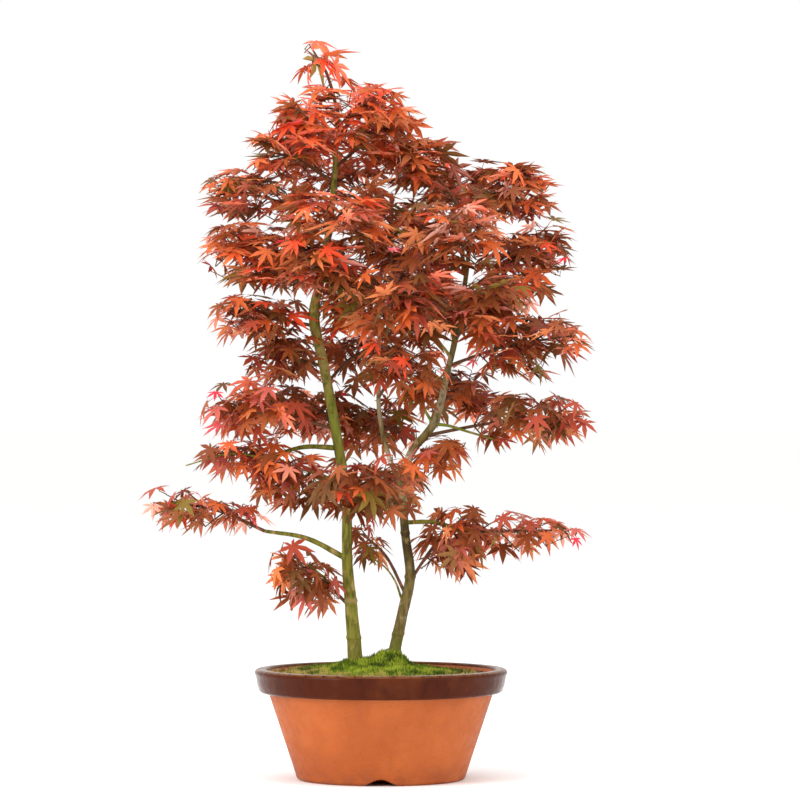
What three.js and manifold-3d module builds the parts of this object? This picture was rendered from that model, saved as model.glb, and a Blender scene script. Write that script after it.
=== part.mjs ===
// A Japanese maple with two trunks, growing in a round terracotta pot.
//
// Units are millimetres, +Z is up and the front is towards -Y. The origin is the centre of the pot's flat
// underside, so everything stands on the plane z = 0.
//
// The pot is a turned bowl with a thick glazed collar round its mouth. It is filled with soil, and moss is
// heaped round the feet of the two trunks. A thinner stem leaves the right trunk and leans back between the
// two. Boughs leave these limbs, and each bough or limb carries masses of foliage. A mass is a stem with side
// twigs in opposite pairs and with five-lobed leaves. It keeps to a rounded box of space of its own.

import * as THREE from "three";
import { mergeVertices } from "three/addons/utils/BufferGeometryUtils.js";
import Module from "manifold-3d";

// ---------------------------------------------------------------------------------------------------------
// Driving dimensions

const GAP = 0.3; // clear space between two pieces that touch

const POT = {
  height: 131,
  footRadius: 101,
  footRound: 6, // rounding of the bottom edge
  slope: 1 / 3, // how far the wall leans out for each millimetre of height
  wall: 8, // thickness, measured level
  floor: 11,
  collarRadius: 150, // outside of the collar, just under the lip
  collarTaper: 5, // how much narrower the collar is at its lower edge
  collarHeight: 28,
  mouthRadius: 136, // inside the lip
  lip: 3, // thickness of the glaze over the top of the wall
  sides: 32,
};
const DRAIN = { count: 3, width: 46, rise: 8, reach: 50, holeRadius: 8 };
const SOIL = { top: 124 };
const MOSS = { radius: 98, centre: [-14, 3], edge: 1.5, swell: 9, rings: 3, sides: 18 };
const MOSS_HEAP = { radius: 34, left: 9, right: 21 }; // how far the moss heaps round each trunk, and how high

// Limbs as stations along them: centre x, y, z and radius. The trunks' first station is their level cut.
const TRUNK_LEFT = [
  [-29, -3, SOIL.top, 12.5],
  [-30, -3, 134, 9.6],
  [-31, -3, 150, 8.6],
  [-36, -4, 211, 7.2],
  [-40, -3, 256, 6.4],
  [-41, 0, 325, 6.0],
  [-51, 3, 398, 5.9],
  [-66, 2, 481, 5.8],
  [-79.5, -1, 550, 6.3],
  [-71, -3, 595, 4.7],
  [-58, -2, 680, 3.7],
  [-51, 2, 790, 2.3],
];
const TRUNK_RIGHT = [
  [11, 6, SOIL.top, 14],
  [14, 6, 136, 10.5],
  [17, 6, 156, 7.4],
  [25, 5, 194, 6.3],
  [34.5, 3, 240, 6.1],
  [29, 0, 290, 5.1],
  [26, 2, 344, 4.9],
  [35, 5, 385, 4.8],
  [64, 6, 424, 4.8],
  [78, 4, 479, 3.7],
  [88, 0, 522, 3.4],
  [103, -3, 615, 2.6],
  [107, 0, 690, 2.1],
];
const STEM_MIDDLE = [
  [26, 2, 344, 3.1],
  [13, 10, 372, 2.9],
  [0, 15, 420, 2.6],
  [-3, 13, 460, 2.5],
  [6, 6, 520, 2.2],
  [13, 0, 588, 2.0],
];
const LIMB_SIDES = { trunk: 7, stem: 5, bough: 5, twig: 3 };

const BOUGH = {
  rootShare: 0.55, // radius at the root as a share of its limb's radius
  greatest: 3.6,
  tip: 2.1,
  arch: 0.08, // rise in the middle as a share of the length
  leastLength: 51,
  entry: 0.86, // share of a mass's space at which the bough ends
};
const STEM = { far: 0.4, rise: 0.15, root: 2.5, tip: 2.2 }; // far and rise as shares of the mass's space
const TWIG = {
  radius: 1.15,
  spacing: 50, // between the pairs of twigs along a stem
  sweep: 58, // degrees between a twig and its stem
  sweepSpread: 12,
  tilt: [40, -34], // degrees above level, for the twigs in turn
  riseSpread: 0.15,
  step: 4, // by which a twig grows on
  least: 12, // length of the shortest twig
  edge: 0.55, // share of the way to the edge of the space at which a twig ends
  stagger: 3.2, // how far each twig of a pair is off the pair's middle
  back: 0.4, // how far back a pair sits in its share of the stem
  backSpread: 0.12,
  last: 0.96, // share of the stem's length that the last twig may be at
};
const LEAF = {
  size: 88, // length of the middle lobe of the largest leaves in a roomy mass
  roomy: 44, // half height of a mass from which on it counts as roomy
  shares: [1, 0.82, 0.66, 0.5, 0.38], // the sizes that are tried in turn, as shares of the largest
  stalk: 0.3, // as a share of the size, as are the next four
  swell: 0.027, // half the thickness in the middle
  dip: 0.09, // how far the tips hang below the middle
  notch: 0.43, // how far the cuts between the lobes stay from the base
  base: 0.06, // how far behind the lobes' meeting point the stalk begins
  margin: 2, // least distance to a neighbour's space
  clear: 2.5, // least distance to a limb
  stalkHalf: [0.42, 0.8], // half the thickness of the stalk, at the twig and at the blade
  nodeSpacing: 10, // between the pairs of leaves along a twig
  stagger: 2.4, // between the two leaves of a pair, so that their stalks keep apart
tries: 16, // at one place with one size
  turn: 14, // how many degrees a leaf may turn away for each try
};
// The five lobes: bearing from the middle lobe in degrees, and length as a share of the size.
const LOBES = [
  [-112, 0.52],
  [-54, 0.86],
  [0, 1],
  [54, 0.86],
  [112, 0.52],
];
// Leaves lie nearly level in the upper crown and hang down in the lower crown.
const DROOP = { high: 34, low: 50, highAt: 860, lowAt: 330, spread: 34, roll: 40 };

// The masses: [limb, bearing, reach, height, half depth, half width, half height, fork, leaves].
// Bearing (0 is +X, 90 is +Y) and reach place the middle of the mass round the pot's axis, and its half sizes
// lie along that bearing and across it. Fork is the height at which its bough or stem leaves the limb.
const MASSES = {
  top: ["trunk_left", 180, 58, 852, 52, 58, 60, 790, 5],
  top_centre: ["trunk_left", 180, 72, 776, 66, 84, 50, 744, 8],
  top_front: ["trunk_left", 232, 48, 792, 52, 62, 48, 752, 5],
  top_right: ["trunk_left", 180, 2, 764, 64, 76, 50, 724, 8],
  left_shoulder: ["trunk_left", 181, 114, 740, 58, 66, 38, 706, 6],
  left_upper: ["trunk_left", 179, 147, 693, 80, 80, 42, 653, 8],
  left_high: ["trunk_left", 183, 146, 622, 76, 85, 47, 586, 9],
  left_middle: ["trunk_left", 178, 140, 543, 72, 67, 38, 536, 8],
  left_inner: ["trunk_left", 176, 108, 496, 62, 64, 42, 488, 6],
  left_lower: ["trunk_left", 182, 142, 432, 78, 74, 46, 414, 9],
  left_wisp: ["trunk_left", 176, 172, 382, 44, 40, 26, 392, 3],
  left_skirt: ["trunk_left", 184, 100, 362, 68, 66, 56, 314, 7],
  left_reach: ["trunk_left", 180, 194, 322, 112, 48, 36, 260, 8],
  left_foot: ["trunk_left", 184, 88, 246, 54, 53, 60, 202, 7],
  right_shoulder: ["trunk_right", 0, 132, 690, 84, 80, 55, 690, 8],
  right_top: ["trunk_right", 0, 58, 730, 66, 72, 48, 656, 7],
  right_high: ["trunk_right", 2, 167, 616, 76, 80, 64, 574, 9],
  right_middle: ["trunk_right", 358, 174, 516, 88, 78, 50, 490, 8],
  right_lower: ["trunk_right", 1, 174, 422, 82, 74, 46, 406, 8],
  right_inner: ["trunk_right", 354, 67, 386, 47, 57, 42, 366, 5],
  right_foot: ["trunk_right", 2, 80, 296, 58, 57, 66, 234, 7],
  right_reach: ["trunk_right", 359, 166, 290, 76, 46, 33, 304, 5],
  front_high_left: ["trunk_left", 247, 124, 660, 65, 87, 62, 622, 8],
  front_high_right: ["trunk_right", 307, 134, 642, 66, 72, 64, 602, 8],
  front_left: ["trunk_left", 236, 120, 604, 56, 60, 48, 570, 4],
  front_upper: ["stem_middle", 282, 102, 564, 65, 86, 60, 532, 8],
  front_right: ["trunk_right", 327, 152, 560, 56, 60, 58, 520, 6],
  front_middle: ["stem_middle", 292, 76, 488, 54, 62, 60, 452, 6],
  front_low: ["trunk_left", 257, 84, 353, 50, 80, 60, 300, 7],
  middle_upper: ["stem_middle", 190, 40, 566, 44, 60, 50, 528, 4],
  middle_right: ["trunk_right", 20, 56, 554, 50, 56, 58, 528, 5],
  middle_low: ["trunk_right", 180, 4, 284, 40, 42, 42, 216, 4],
  core: ["stem_middle", 60, 26, 654, 60, 64, 66, 588, 3],
  back_high_left: ["trunk_left", 117, 112, 716, 68, 84, 60, 676, 6],
  back_high_right: ["trunk_right", 49, 124, 700, 66, 76, 58, 648, 5],
  back_left: ["trunk_left", 132, 132, 618, 60, 64, 54, 580, 4],
  back_upper: ["stem_middle", 76, 114, 606, 66, 84, 58, 566, 6],
  back_right: ["trunk_right", 40, 150, 560, 60, 64, 57, 526, 4],
  back_middle: ["trunk_left", 103, 104, 506, 62, 80, 57, 470, 6],
  back_lower_left: ["trunk_left", 132, 112, 438, 58, 64, 52, 404, 5],
  back_lower: ["stem_middle", 92, 100, 424, 58, 68, 54, 396, 5],
  back_lower_right: ["trunk_right", 46, 124, 458, 56, 60, 52, 430, 4],
  back_low: ["trunk_left", 97, 84, 344, 50, 78, 52, 300, 5],
};

const FINISHES = {
  terracotta: { color: 0xc8693a, roughness: 0.8 },
  glaze: { color: 0x57271a, roughness: 0.3 },
  soil: { color: 0x4d3727, roughness: 1 },
  moss: { color: 0x6f8020, roughness: 1 },
  bark: { color: 0x777244, roughness: 0.8 },
  foliage: { color: 0xa8482a, roughness: 0.6 },
};

// ---------------------------------------------------------------------------------------------------------
// Solids

const wasm = await Module();
wasm.setup();

/** A closed geometry as a solid. */
function solidOf(geometry) {
  const bare = new THREE.BufferGeometry().setAttribute("position", geometry.getAttribute("position"));
  bare.setIndex(geometry.index);
  const merged = mergeVertices(bare, 1e-4);
  return new wasm.Manifold(
    new wasm.Mesh({
      numProp: 3,
      vertProperties: new Float32Array(merged.attributes.position.array),
      triVerts: new Uint32Array(merged.index.array),
    }),
  );
}

/** A solid as a geometry. */
function geometryOf(solid) {
  const mesh = solid.getMesh();
  const geometry = new THREE.BufferGeometry()
    .setAttribute("position", new THREE.BufferAttribute(new Float32Array(mesh.vertProperties), 3))
    .setIndex(new THREE.BufferAttribute(new Uint32Array(mesh.triVerts), 1));
  geometry.computeVertexNormals();
  return geometry;
}

/** The largest piece of a solid, so that a scrap that came loose is dropped. */
function largestPiece(solid) {
  return solid.decompose().sort((a, b) => b.volume() - a.volume())[0];
}

/** Whether the boxes round two solids meet. */
function boxesMeet(a, b) {
  const [first, second] = [a.boundingBox(), b.boundingBox()];
  return [0, 1, 2].every((i) => first.min[i] <= second.max[i] && second.min[i] <= first.max[i]);
}

/** Whether two solids share any space. */
function solidsMeet(a, b) {
  const common = a.intersect(b);
  const empty = common.isEmpty();
  common.delete();
  return !empty;
}

// ---------------------------------------------------------------------------------------------------------
// Directions and seeded numbers

const radians = THREE.MathUtils.degToRad;
const { lerp, clamp } = THREE.MathUtils;
const UP = new THREE.Vector3(0, 0, 1);

/** A level direction, from its bearing in degrees. */
function level(bearing) {
  return new THREE.Vector3(Math.cos(radians(bearing)), Math.sin(radians(bearing)), 0);
}

/** A function that gives the next number of the series that belongs to a name, from -1 to 1. */
function seriesFor(name) {
  let state = [...name].reduce((sum, letter) => (Math.imul(sum, 31) + letter.charCodeAt(0)) >>> 0, 7);
  return () => {
    state = (state + 0x6d2b79f5) >>> 0;
    let mixed = Math.imul(state ^ (state >>> 15), state | 1);
    mixed ^= mixed + Math.imul(mixed ^ (mixed >>> 7), mixed | 61);
    return ((mixed ^ (mixed >>> 14)) >>> 0) / 2147483648 - 1;
  };
}

// ---------------------------------------------------------------------------------------------------------
// Limbs: tapering tubes along a curve through stations

class Limb {
  constructor(stations, sides, { levelFoot = false, ringsPerSpan = 2, rootDirection = null } = {}) {
    this.sides = sides;
    this.levelFoot = levelFoot;
    this.rootDirection = rootDirection;
    this.rings = (stations.length - 1) * ringsPerSpan;
    this.radii = stations.map((station) => station[3]);
    const points = stations.map(([x, y, z]) => new THREE.Vector3(x, y, z));
    this.curve = new THREE.CatmullRomCurve3(points, false, "centripetal");
    const count = this.rings * 2;
    this.samples = Array.from({ length: count + 1 }, (_, i) => ({
      point: this.curve.getPoint(i / count),
      radius: this.radiusAt(i / count),
    }));
  }

  /** The radius at a share of the way along, straight from one station to the next. */
  radiusAt(share) {
    const place = share * (this.radii.length - 1);
    const span = Math.min(Math.floor(place), this.radii.length - 2);
    return lerp(this.radii[span], this.radii[span + 1], place - span);
  }

  /** The middle of the faceted limb at a share of the way along, straight from one ring to the next. */
  middleAt(share) {
    const ring = Math.min(Math.floor(share * this.rings), this.rings - 1);
    const from = this.curve.getPoint(ring / this.rings);
    return from.lerp(this.curve.getPoint((ring + 1) / this.rings), share * this.rings - ring);
  }

  /** A unit cylinder bent along the curve, thicker all round by grow. */
  solid(grow = 0) {
    const tube = new THREE.CylinderGeometry(1, 1, 1, this.sides, this.rings);
    const position = tube.getAttribute("position");
    const frames = this.frames();
    for (let i = 0; i < position.count; i++) {
      const ring = Math.round((0.5 - position.getY(i)) * this.rings);
      const { centre, across, beside } = frames[ring];
      const radius = this.radiusAt(ring / this.rings) + grow;
      const point = centre
        .clone()
        .addScaledVector(across, position.getX(i) * radius)
        .addScaledVector(beside, position.getZ(i) * radius);
      if (this.levelFoot && ring === 0) point.z = centre.z;
      position.setXYZ(i, point.x, point.y, point.z);
    }
    return solidOf(tube);
  }

  /** Each ring's centre and two directions across the limb, carried along it without twist. */
  frames() {
    const across = new THREE.Vector3(1, 0, 0);
    return Array.from({ length: this.rings + 1 }, (_, ring) => {
      const own = this.curve.getTangent(ring / this.rings);
      const tangent = ring === 0 && this.rootDirection ? this.rootDirection : own;
      across.projectOnPlane(tangent).normalize();
      const beside = new THREE.Vector3().crossVectors(tangent, across);
      return { centre: this.curve.getPoint(ring / this.rings), across: across.clone(), beside };
    });
  }

  /** How far a point is from the limb's surface. */
  distance(point) {
    let least = Infinity;
    const span = new THREE.Line3();
    const nearest = new THREE.Vector3();
    for (let i = 1; i < this.samples.length; i++) {
      span.set(this.samples[i - 1].point, this.samples[i].point);
      span.closestPointToPoint(point, true, nearest);
      least = Math.min(least, nearest.distanceTo(point) - this.samples[i - 1].radius);
    }
    return least;
  }

  /** The centreline's point at a height, and the radius there. */
  atHeight(height) {
    const next = this.samples.findIndex((sample) => sample.point.z >= height);
    if (next < 0) return this.samples.at(-1);
    const low = this.samples[Math.max(0, next - 1)];
    const high = this.samples[Math.max(1, next)];
    const share = clamp((height - low.point.z) / (high.point.z - low.point.z), 0, 1);
    return { point: low.point.clone().lerp(high.point, share), radius: lerp(low.radius, high.radius, share) };
  }
}

// ---------------------------------------------------------------------------------------------------------
// The pot, its soil and its moss

/** A turned solid from a closed profile of [radius, height] pairs, taken anticlockwise. */
function turned(profile) {
  const points = [...profile, profile[0]].map(([radius, height]) => new THREE.Vector2(radius, height));
  return solidOf(new THREE.LatheGeometry(points, POT.sides).rotateX(Math.PI / 2));
}

/** The radius of the bowl's outside at a height. */
function bowlRadius(height) {
  return POT.footRadius + (height - POT.footRound) * POT.slope;
}

/** What one drain takes away: a hole in the floor, and an arched groove from it to the edge of the foot. */
function drain(turn) {
  const half = DRAIN.width / 2;
  const arch = new THREE.Shape();
  arch.moveTo(half, -1);
  arch.lineTo(half, 0);
  arch.bezierCurveTo(half * 0.55, 0, half * 0.6, DRAIN.rise, 0, DRAIN.rise);
  arch.bezierCurveTo(-half * 0.6, DRAIN.rise, -half * 0.55, 0, -half, 0);
  arch.lineTo(-half, -1);
  const depth = POT.footRadius + 10 - DRAIN.reach;
  const groove = new THREE.ExtrudeGeometry(arch, { depth, bevelEnabled: false, curveSegments: 4 });
  groove.rotateX(Math.PI / 2).translate(0, -DRAIN.reach, 0).rotateZ(turn);
  const hole = new THREE.CylinderGeometry(DRAIN.holeRadius, DRAIN.holeRadius, POT.floor * 3, 8);
  hole.rotateX(Math.PI / 2).translate(0, -DRAIN.reach - DRAIN.holeRadius * 1.5, 0).rotateZ(turn);
  return solidOf(groove).add(solidOf(hole));
}

/** The bowl: floor, leaning wall, and a foot with drainage grooves cut across its edge. */
function potBowl() {
  const top = POT.height - POT.lip;
  const inside = (height) => bowlRadius(height) - POT.wall;
  let bowl = turned([
    [0, 0],
    [POT.footRadius - POT.footRound * 1.2, 0],
    [POT.footRadius - POT.footRound * 0.35, POT.footRound * 0.3],
    [POT.footRadius, POT.footRound],
    [bowlRadius(top), top],
    [inside(top), top],
    [inside(POT.floor + 12), POT.floor + 12],
    [inside(POT.floor) - 12, POT.floor],
    [0, POT.floor],
  ]);
  for (let i = 0; i < DRAIN.count; i++) bowl = bowl.subtract(drain((i * 2 * Math.PI) / DRAIN.count));
  return bowl;
}

/** The glazed collar round the mouth, which laps over the top of the wall. */
function potCollar() {
  const bottom = POT.height - POT.collarHeight;
  const under = POT.height - POT.lip + GAP;
  const lowerRadius = POT.collarRadius - POT.collarTaper;
  return turned([
    [bowlRadius(bottom) + GAP, bottom],
    [lowerRadius - 4, bottom],
    [lowerRadius, bottom + 4],
    [POT.collarRadius, POT.height - 4],
    [POT.collarRadius - 4, POT.height],
    [POT.mouthRadius + 2, POT.height],
    [POT.mouthRadius - 1, under],
    [bowlRadius(under) + GAP, under],
  ]);
}

/** The soil that fills the bowl to just under its lip. */
function soilPlug() {
  const inside = (height) => bowlRadius(height) - POT.wall - GAP * 2;
  const top = SOIL.top - GAP;
  return turned([
    [0, POT.floor + GAP],
    [inside(POT.floor) - 12, POT.floor + GAP],
    [inside(POT.floor + 12), POT.floor + 12 + GAP],
    [inside(top), top],
    [0, top],
  ]);
}

/** Height of the moss at a point: a low swell, and a heap round the foot of each trunk. */
function mossHeight(x, y) {
  const out = Math.hypot(x - MOSS.centre[0], y - MOSS.centre[1]) / MOSS.radius;
  const heap = ([[footX, footY]], rise) => {
    const near = clamp(1 - Math.hypot(x - footX, y - footY) / MOSS_HEAP.radius, 0, 1);
    return rise * near * near * (3 - 2 * near);
  };
  const swell = MOSS.swell * Math.max(0, 1 - out * out);
  return MOSS.edge + swell + heap(TRUNK_LEFT, MOSS_HEAP.left) + heap(TRUNK_RIGHT, MOSS_HEAP.right);
}

/** The cushion of moss, a disc with a wavy edge and a heaped top, cut clear of the trunks. */
function mossCushion(trunks) {
  const top = Array.from({ length: MOSS.rings + 1 }, (_, i) => new THREE.Vector2(1 - i / MOSS.rings, 1));
  const profile = [new THREE.Vector2(0, 0), new THREE.Vector2(1, 0), ...top, new THREE.Vector2(0, 0)];
  const disc = new THREE.LatheGeometry(profile, MOSS.sides).rotateX(Math.PI / 2);
  const position = disc.getAttribute("position");
  for (let i = 0; i < position.count; i++) {
    const angle = Math.atan2(position.getY(i), position.getX(i));
    const reach = MOSS.radius * (1 + 0.06 * Math.sin(3 * angle + 1) + 0.04 * Math.sin(5 * angle));
    const x = MOSS.centre[0] + position.getX(i) * reach;
    const y = MOSS.centre[1] + position.getY(i) * reach;
    const rise = position.getZ(i) > 0.5 ? mossHeight(x, y) : 0;
    position.setXYZ(i, x, y, SOIL.top + rise);
  }
  const cut = trunks.map((trunk) => trunk.solid(GAP));
  return largestPiece(cut.reduce((moss, trunk) => moss.subtract(trunk), solidOf(disc)));
}

// ---------------------------------------------------------------------------------------------------------
// Leaves

/**
 * One leaf as a closed solid: a flat double pyramid over the outline of its five lobes, whose base narrows
 * into a three-sided stalk. It lies in the XY plane, with its middle lobe along +X. The stalk comes from
 * behind and, by bend radians, from below. Its last three points are the end of the stalk.
 */
function leafGeometry(size, bend) {
  const outline = LOBES.flatMap(([bearing, length], i) => {
    const tip = level(bearing).multiplyScalar(length * size).setZ(-LEAF.dip * size * length);
    if (i === LOBES.length - 1) return [tip];
    const between = (bearing + LOBES[i + 1][0]) / 2;
    return [tip, level(between).multiplyScalar(LEAF.notch * size)];
  });
  const [w, wide] = LEAF.stalkHalf;
  const base = -LEAF.base * size;
  const middle = 0.1 * size;
  const rootX = base - Math.cos(bend) * LEAF.stalk * size;
  const rootZ = -Math.sin(bend) * LEAF.stalk * size;
  const points = [
    new THREE.Vector3(base, -wide, 0),
    ...outline,
    new THREE.Vector3(base, wide, 0),
    new THREE.Vector3(middle, 0, LEAF.swell * size),
    new THREE.Vector3(middle, 0, -LEAF.swell * size),
    new THREE.Vector3(base, 0, wide),
    new THREE.Vector3(rootX, -w, rootZ - w * 0.6),
    new THREE.Vector3(rootX, w, rootZ - w * 0.6),
    new THREE.Vector3(rootX, 0, rootZ + w),
  ];
  const last = outline.length + 1;
  const [top, under, ridge, right, left, crest] = [1, 2, 3, 4, 5, 6].map((step) => last + step);
  const faces = [];
  for (let i = 0; i < last; i++) faces.push([top, i, i + 1], [under, i + 1, i]);
  faces.push([top, last, ridge], [top, ridge, 0], [under, 0, last], [crest, left, right]);
  faces.push([ridge, last, left], [ridge, left, crest], [0, ridge, crest], [0, crest, right]);
  faces.push([last, 0, right], [last, right, left]);
  return new THREE.BufferGeometry().setFromPoints(points).setIndex(faces.flat());
}

/** A leaf in its place, with its stalk's end at root and its middle lobe along heading, hanging by droop. */
class Leaf {
  constructor(root, size, heading, droop, roll) {
    this.geometry = leafGeometry(size, clamp(droop * 0.6, 0, 0.7));
    const forward = heading.clone().setZ(0).normalize().multiplyScalar(Math.cos(droop));
    forward.addScaledVector(UP, -Math.sin(droop));
    const across = new THREE.Vector3().crossVectors(UP, forward).normalize().applyAxisAngle(forward, roll);
    const normal = new THREE.Vector3().crossVectors(forward, across);
    const matrix = new THREE.Matrix4().makeBasis(forward, across, normal);
    const position = this.geometry.getAttribute("position");
    const stalkEnd = new THREE.Vector3().fromBufferAttribute(position, position.count - 1);
    stalkEnd.z -= LEAF.stalkHalf[0];
    matrix.setPosition(root.clone().sub(stalkEnd.applyMatrix4(matrix)));
    this.geometry.applyMatrix4(matrix);
    this.middle = new THREE.Vector3(0.3 * size, 0, 0).applyMatrix4(matrix);
  }

  /** Whether the leaf runs through any of some solids. Its own solid is kept only if it doesn't. */
  meetsAny(others) {
    this.solid = solidOf(this.geometry);
    const met = others.some((other) => boxesMeet(this.solid, other) && solidsMeet(this.solid, other));
    if (met) this.solid.delete();
    return met;
  }

  /** The outline's tips, notches and base. */
  outline() {
    const position = this.geometry.getAttribute("position");
    const count = LOBES.length * 2 + 1;
    return Array.from({ length: count }, (_, i) => new THREE.Vector3().fromBufferAttribute(position, i));
  }
}

// ---------------------------------------------------------------------------------------------------------
// Masses of foliage

/** A station of a limb from a point and a radius. */
function station(point, radius) {
  return [point.x, point.y, point.z, radius];
}

class Mass {
  constructor(name, [limb, bearing, reach, height, depth, width, tall, fork, leaves], limbs) {
    this.name = name;
    this.outward = level(bearing);
    this.side = level(bearing + 90);
    this.centre = this.outward.clone().multiplyScalar(reach).setZ(height);
    this.half = new THREE.Vector3(depth, width, tall);
    this.limb = limbs[limb];
    this.root = this.limb.atHeight(fork);
    this.onTip = fork >= this.limb.curve.getPoint(1).z;
    this.leafCount = leaves;
    this.leafSize = LEAF.size * Math.min(1, tall / LEAF.roomy);
    this.random = seriesFor(name);
    this.heading = this.centre.clone().sub(this.root.point).setZ(0);
    if (this.heading.length() < 10) this.heading.copy(this.outward);
    this.heading.normalize();
    this.makeBough();
    this.makeStem();
  }

  /** Share of the way from the middle of the space to its edge, which is a box with well rounded sides. */
  depth(point) {
    const offset = point.clone().sub(this.centre);
    const u = Math.abs(offset.dot(this.outward)) / this.half.x;
    const v = Math.abs(offset.dot(this.side)) / this.half.y;
    const w = Math.abs(offset.z) / this.half.z;
    return Math.cbrt(u ** 3 + v ** 3 + w ** 3);
  }

  /** Whether a point is in the space, and deeper in it than in any neighbour's. */
  owns(point, masses) {
    const own = this.depth(point);
    const margin = LEAF.margin / this.half.z;
    return own < 1 && masses.every((other) => other === this || own + margin < other.depth(point));
  }

  /** The first point on the way from a to b at which the space is entered to a share of its size. */
  entering(a, b, share) {
    const count = 60;
    for (let i = 0; i <= count; i++) {
      const point = a.clone().lerp(b, i / count);
      if (this.depth(point) < share) return point;
    }
    return b.clone();
  }

  /** The bough, where the mass stands far enough from its limb to need one. */
  makeBough() {
    const { point: root, radius } = this.root;
    const low = this.centre.clone().addScaledVector(UP, -0.25 * this.half.z);
    const tip = this.entering(root, low, BOUGH.entry);
    const length = tip.distanceTo(root);
    if (this.onTip) this.startAfter(this.limb);
    else this.start = root.clone();
    if (this.onTip || length - radius < BOUGH.leastLength) return;
    const thick = Math.min(radius * BOUGH.rootShare, BOUGH.greatest);
    const middle = root.clone().lerp(tip, 0.5).addScaledVector(UP, BOUGH.arch * length);
    this.bough = new Limb(
      [station(root, thick), station(middle, (thick + BOUGH.tip) / 2), station(tip, BOUGH.tip)],
      LIMB_SIDES.bough,
      { ringsPerSpan: 1.5 },
    );
    this.startAfter(this.bough);
  }

  /** Lets the stem start just past the tip of a limb, and in its direction. */
  startAfter(limb) {
    this.startDirection = limb.curve.getTangent(1);
    this.start = limb.curve.getPoint(1).addScaledVector(this.startDirection, GAP);
  }

  /** The stem, from the bough's tip or the limb across the middle of the space. */
  makeStem() {
    const reach =
      this.half.x * Math.abs(this.heading.dot(this.outward)) +
      this.half.y * Math.abs(this.heading.dot(this.side));
    const far = this.centre
      .clone()
      .addScaledVector(this.heading, reach * STEM.far)
      .addScaledVector(UP, this.half.z * STEM.rise);
    const middle = this.start.clone().lerp(far, 0.5);
    middle.z = lerp(middle.z, far.z, 0.35);
    const stations = [station(this.start, STEM.root), station(middle, STEM.root), station(far, STEM.tip)];
    this.stem = new Limb(stations, LIMB_SIDES.twig, { ringsPerSpan: 1, rootDirection: this.startDirection });
  }

  /** Grows the side twigs: opposite pairs, each as long as it stays free. */
  growTwigs(free) {
    const length = this.stem.curve.getLength();
    const pairs = Math.max(1, Math.round(length / TWIG.spacing));
    const twigs = [];
    for (let i = 1; i <= pairs; i++) {
      for (const hand of [-1, 1]) {
        const along = (i - TWIG.back + TWIG.backSpread * this.random()) / pairs;
        const share = clamp(along + (hand * TWIG.stagger) / length, 0, TWIG.last);
        const from = this.stem.middleAt(share);
        if (this.depth(from) > 1) continue;
        const direction = this.stem.curve.getTangent(share).setZ(0).normalize();
        direction.applyAxisAngle(UP, radians(hand * (TWIG.sweep + TWIG.sweepSpread * this.random())));
        const rise = Math.tan(radians(TWIG.tilt[(i + (hand > 0)) % 2]));
        direction.addScaledVector(UP, rise + TWIG.riseSpread * this.random()).normalize();
        const reach = this.freeLength(from, direction, free);
        if (reach < TWIG.least) continue;
        const end = from.clone().addScaledVector(direction, reach);
        const stations = [station(from, TWIG.radius), station(end, TWIG.radius)];
        twigs.push(new Limb(stations, LIMB_SIDES.twig, { ringsPerSpan: 1 }));
      }
    }
    return twigs;
  }

  /** How far a twig can go on from a point before it nears the edge of the space or a limb. */
  freeLength(from, direction, free) {
    for (let reach = 0; ; reach += TWIG.step) {
      const next = from.clone().addScaledVector(direction, reach + TWIG.step);
      if (this.depth(next) > TWIG.edge || !free(next)) return reach;
    }
  }

  /** The places for leaves on a twig: a fan of five at its end, and pairs along it. */
  leafSites(twig) {
    const length = twig.curve.getLength();
    const site = (back, turn) => {
      const share = Math.max(0, 1 - back / length);
      const heading = twig.curve.getTangent(share).setZ(0).normalize().applyAxisAngle(UP, radians(turn));
      return { twig, point: twig.middleAt(share), heading };
    };
    const fan = [0, -60, 60, 120, -120];
    const sites = fan.map((turn, i) => site(LEAF.stagger * (i + 0.5), turn));
    const first = LEAF.stagger * fan.length + LEAF.nodeSpacing / 2;
    for (let back = first; back < length - 4; back += LEAF.nodeSpacing) {
      for (const hand of [-1, 1]) {
        const turn = hand * (80 + 15 * this.random());
        sites.push(site(back + (hand * LEAF.stagger) / 2, turn));
      }
    }
    return sites;
  }

  /** Hangs leaves on the twigs: large ones wherever they have room, then smaller ones in what is left. */
  growLeaves(twigs, free, obstacles) {
    const all = [this.stem, ...twigs];
    const wood = new Map(all.map((twig) => [twig, twig.solid()]));
    const leaves = [];
    let sites = all.flatMap((twig) => this.leafSites(twig));
    for (const share of LEAF.shares) {
      const failed = [];
      while (sites.length && leaves.length < this.leafCount) {
        const site = this.takeLoneliest(sites, leaves);
        const others = all.filter((other) => other !== site.twig).map((other) => wood.get(other));
        others.push(...leaves.map((other) => other.solid), ...obstacles);
        const leaf = this.fittingLeaf(site, this.leafSize * share, free, others);
        if (leaf) leaves.push(Object.assign(leaf, { twig: site.twig }));
        else failed.push(site);
      }
      sites = failed;
    }
    return leaves;
  }

  /** Takes out of the sites the one whose leaf would hang furthest from all the leaves there are. */
  takeLoneliest(sites, leaves) {
    const room = sites.map(({ point, heading }) => {
      const over = point.clone().addScaledVector(heading, 0.6 * this.leafSize);
      if (!leaves.length) return over.distanceTo(this.start);
      return Math.min(...leaves.map((leaf) => leaf.middle.distanceTo(over)));
    });
    return sites.splice(room.indexOf(Math.max(...room)), 1)[0];
  }

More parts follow.
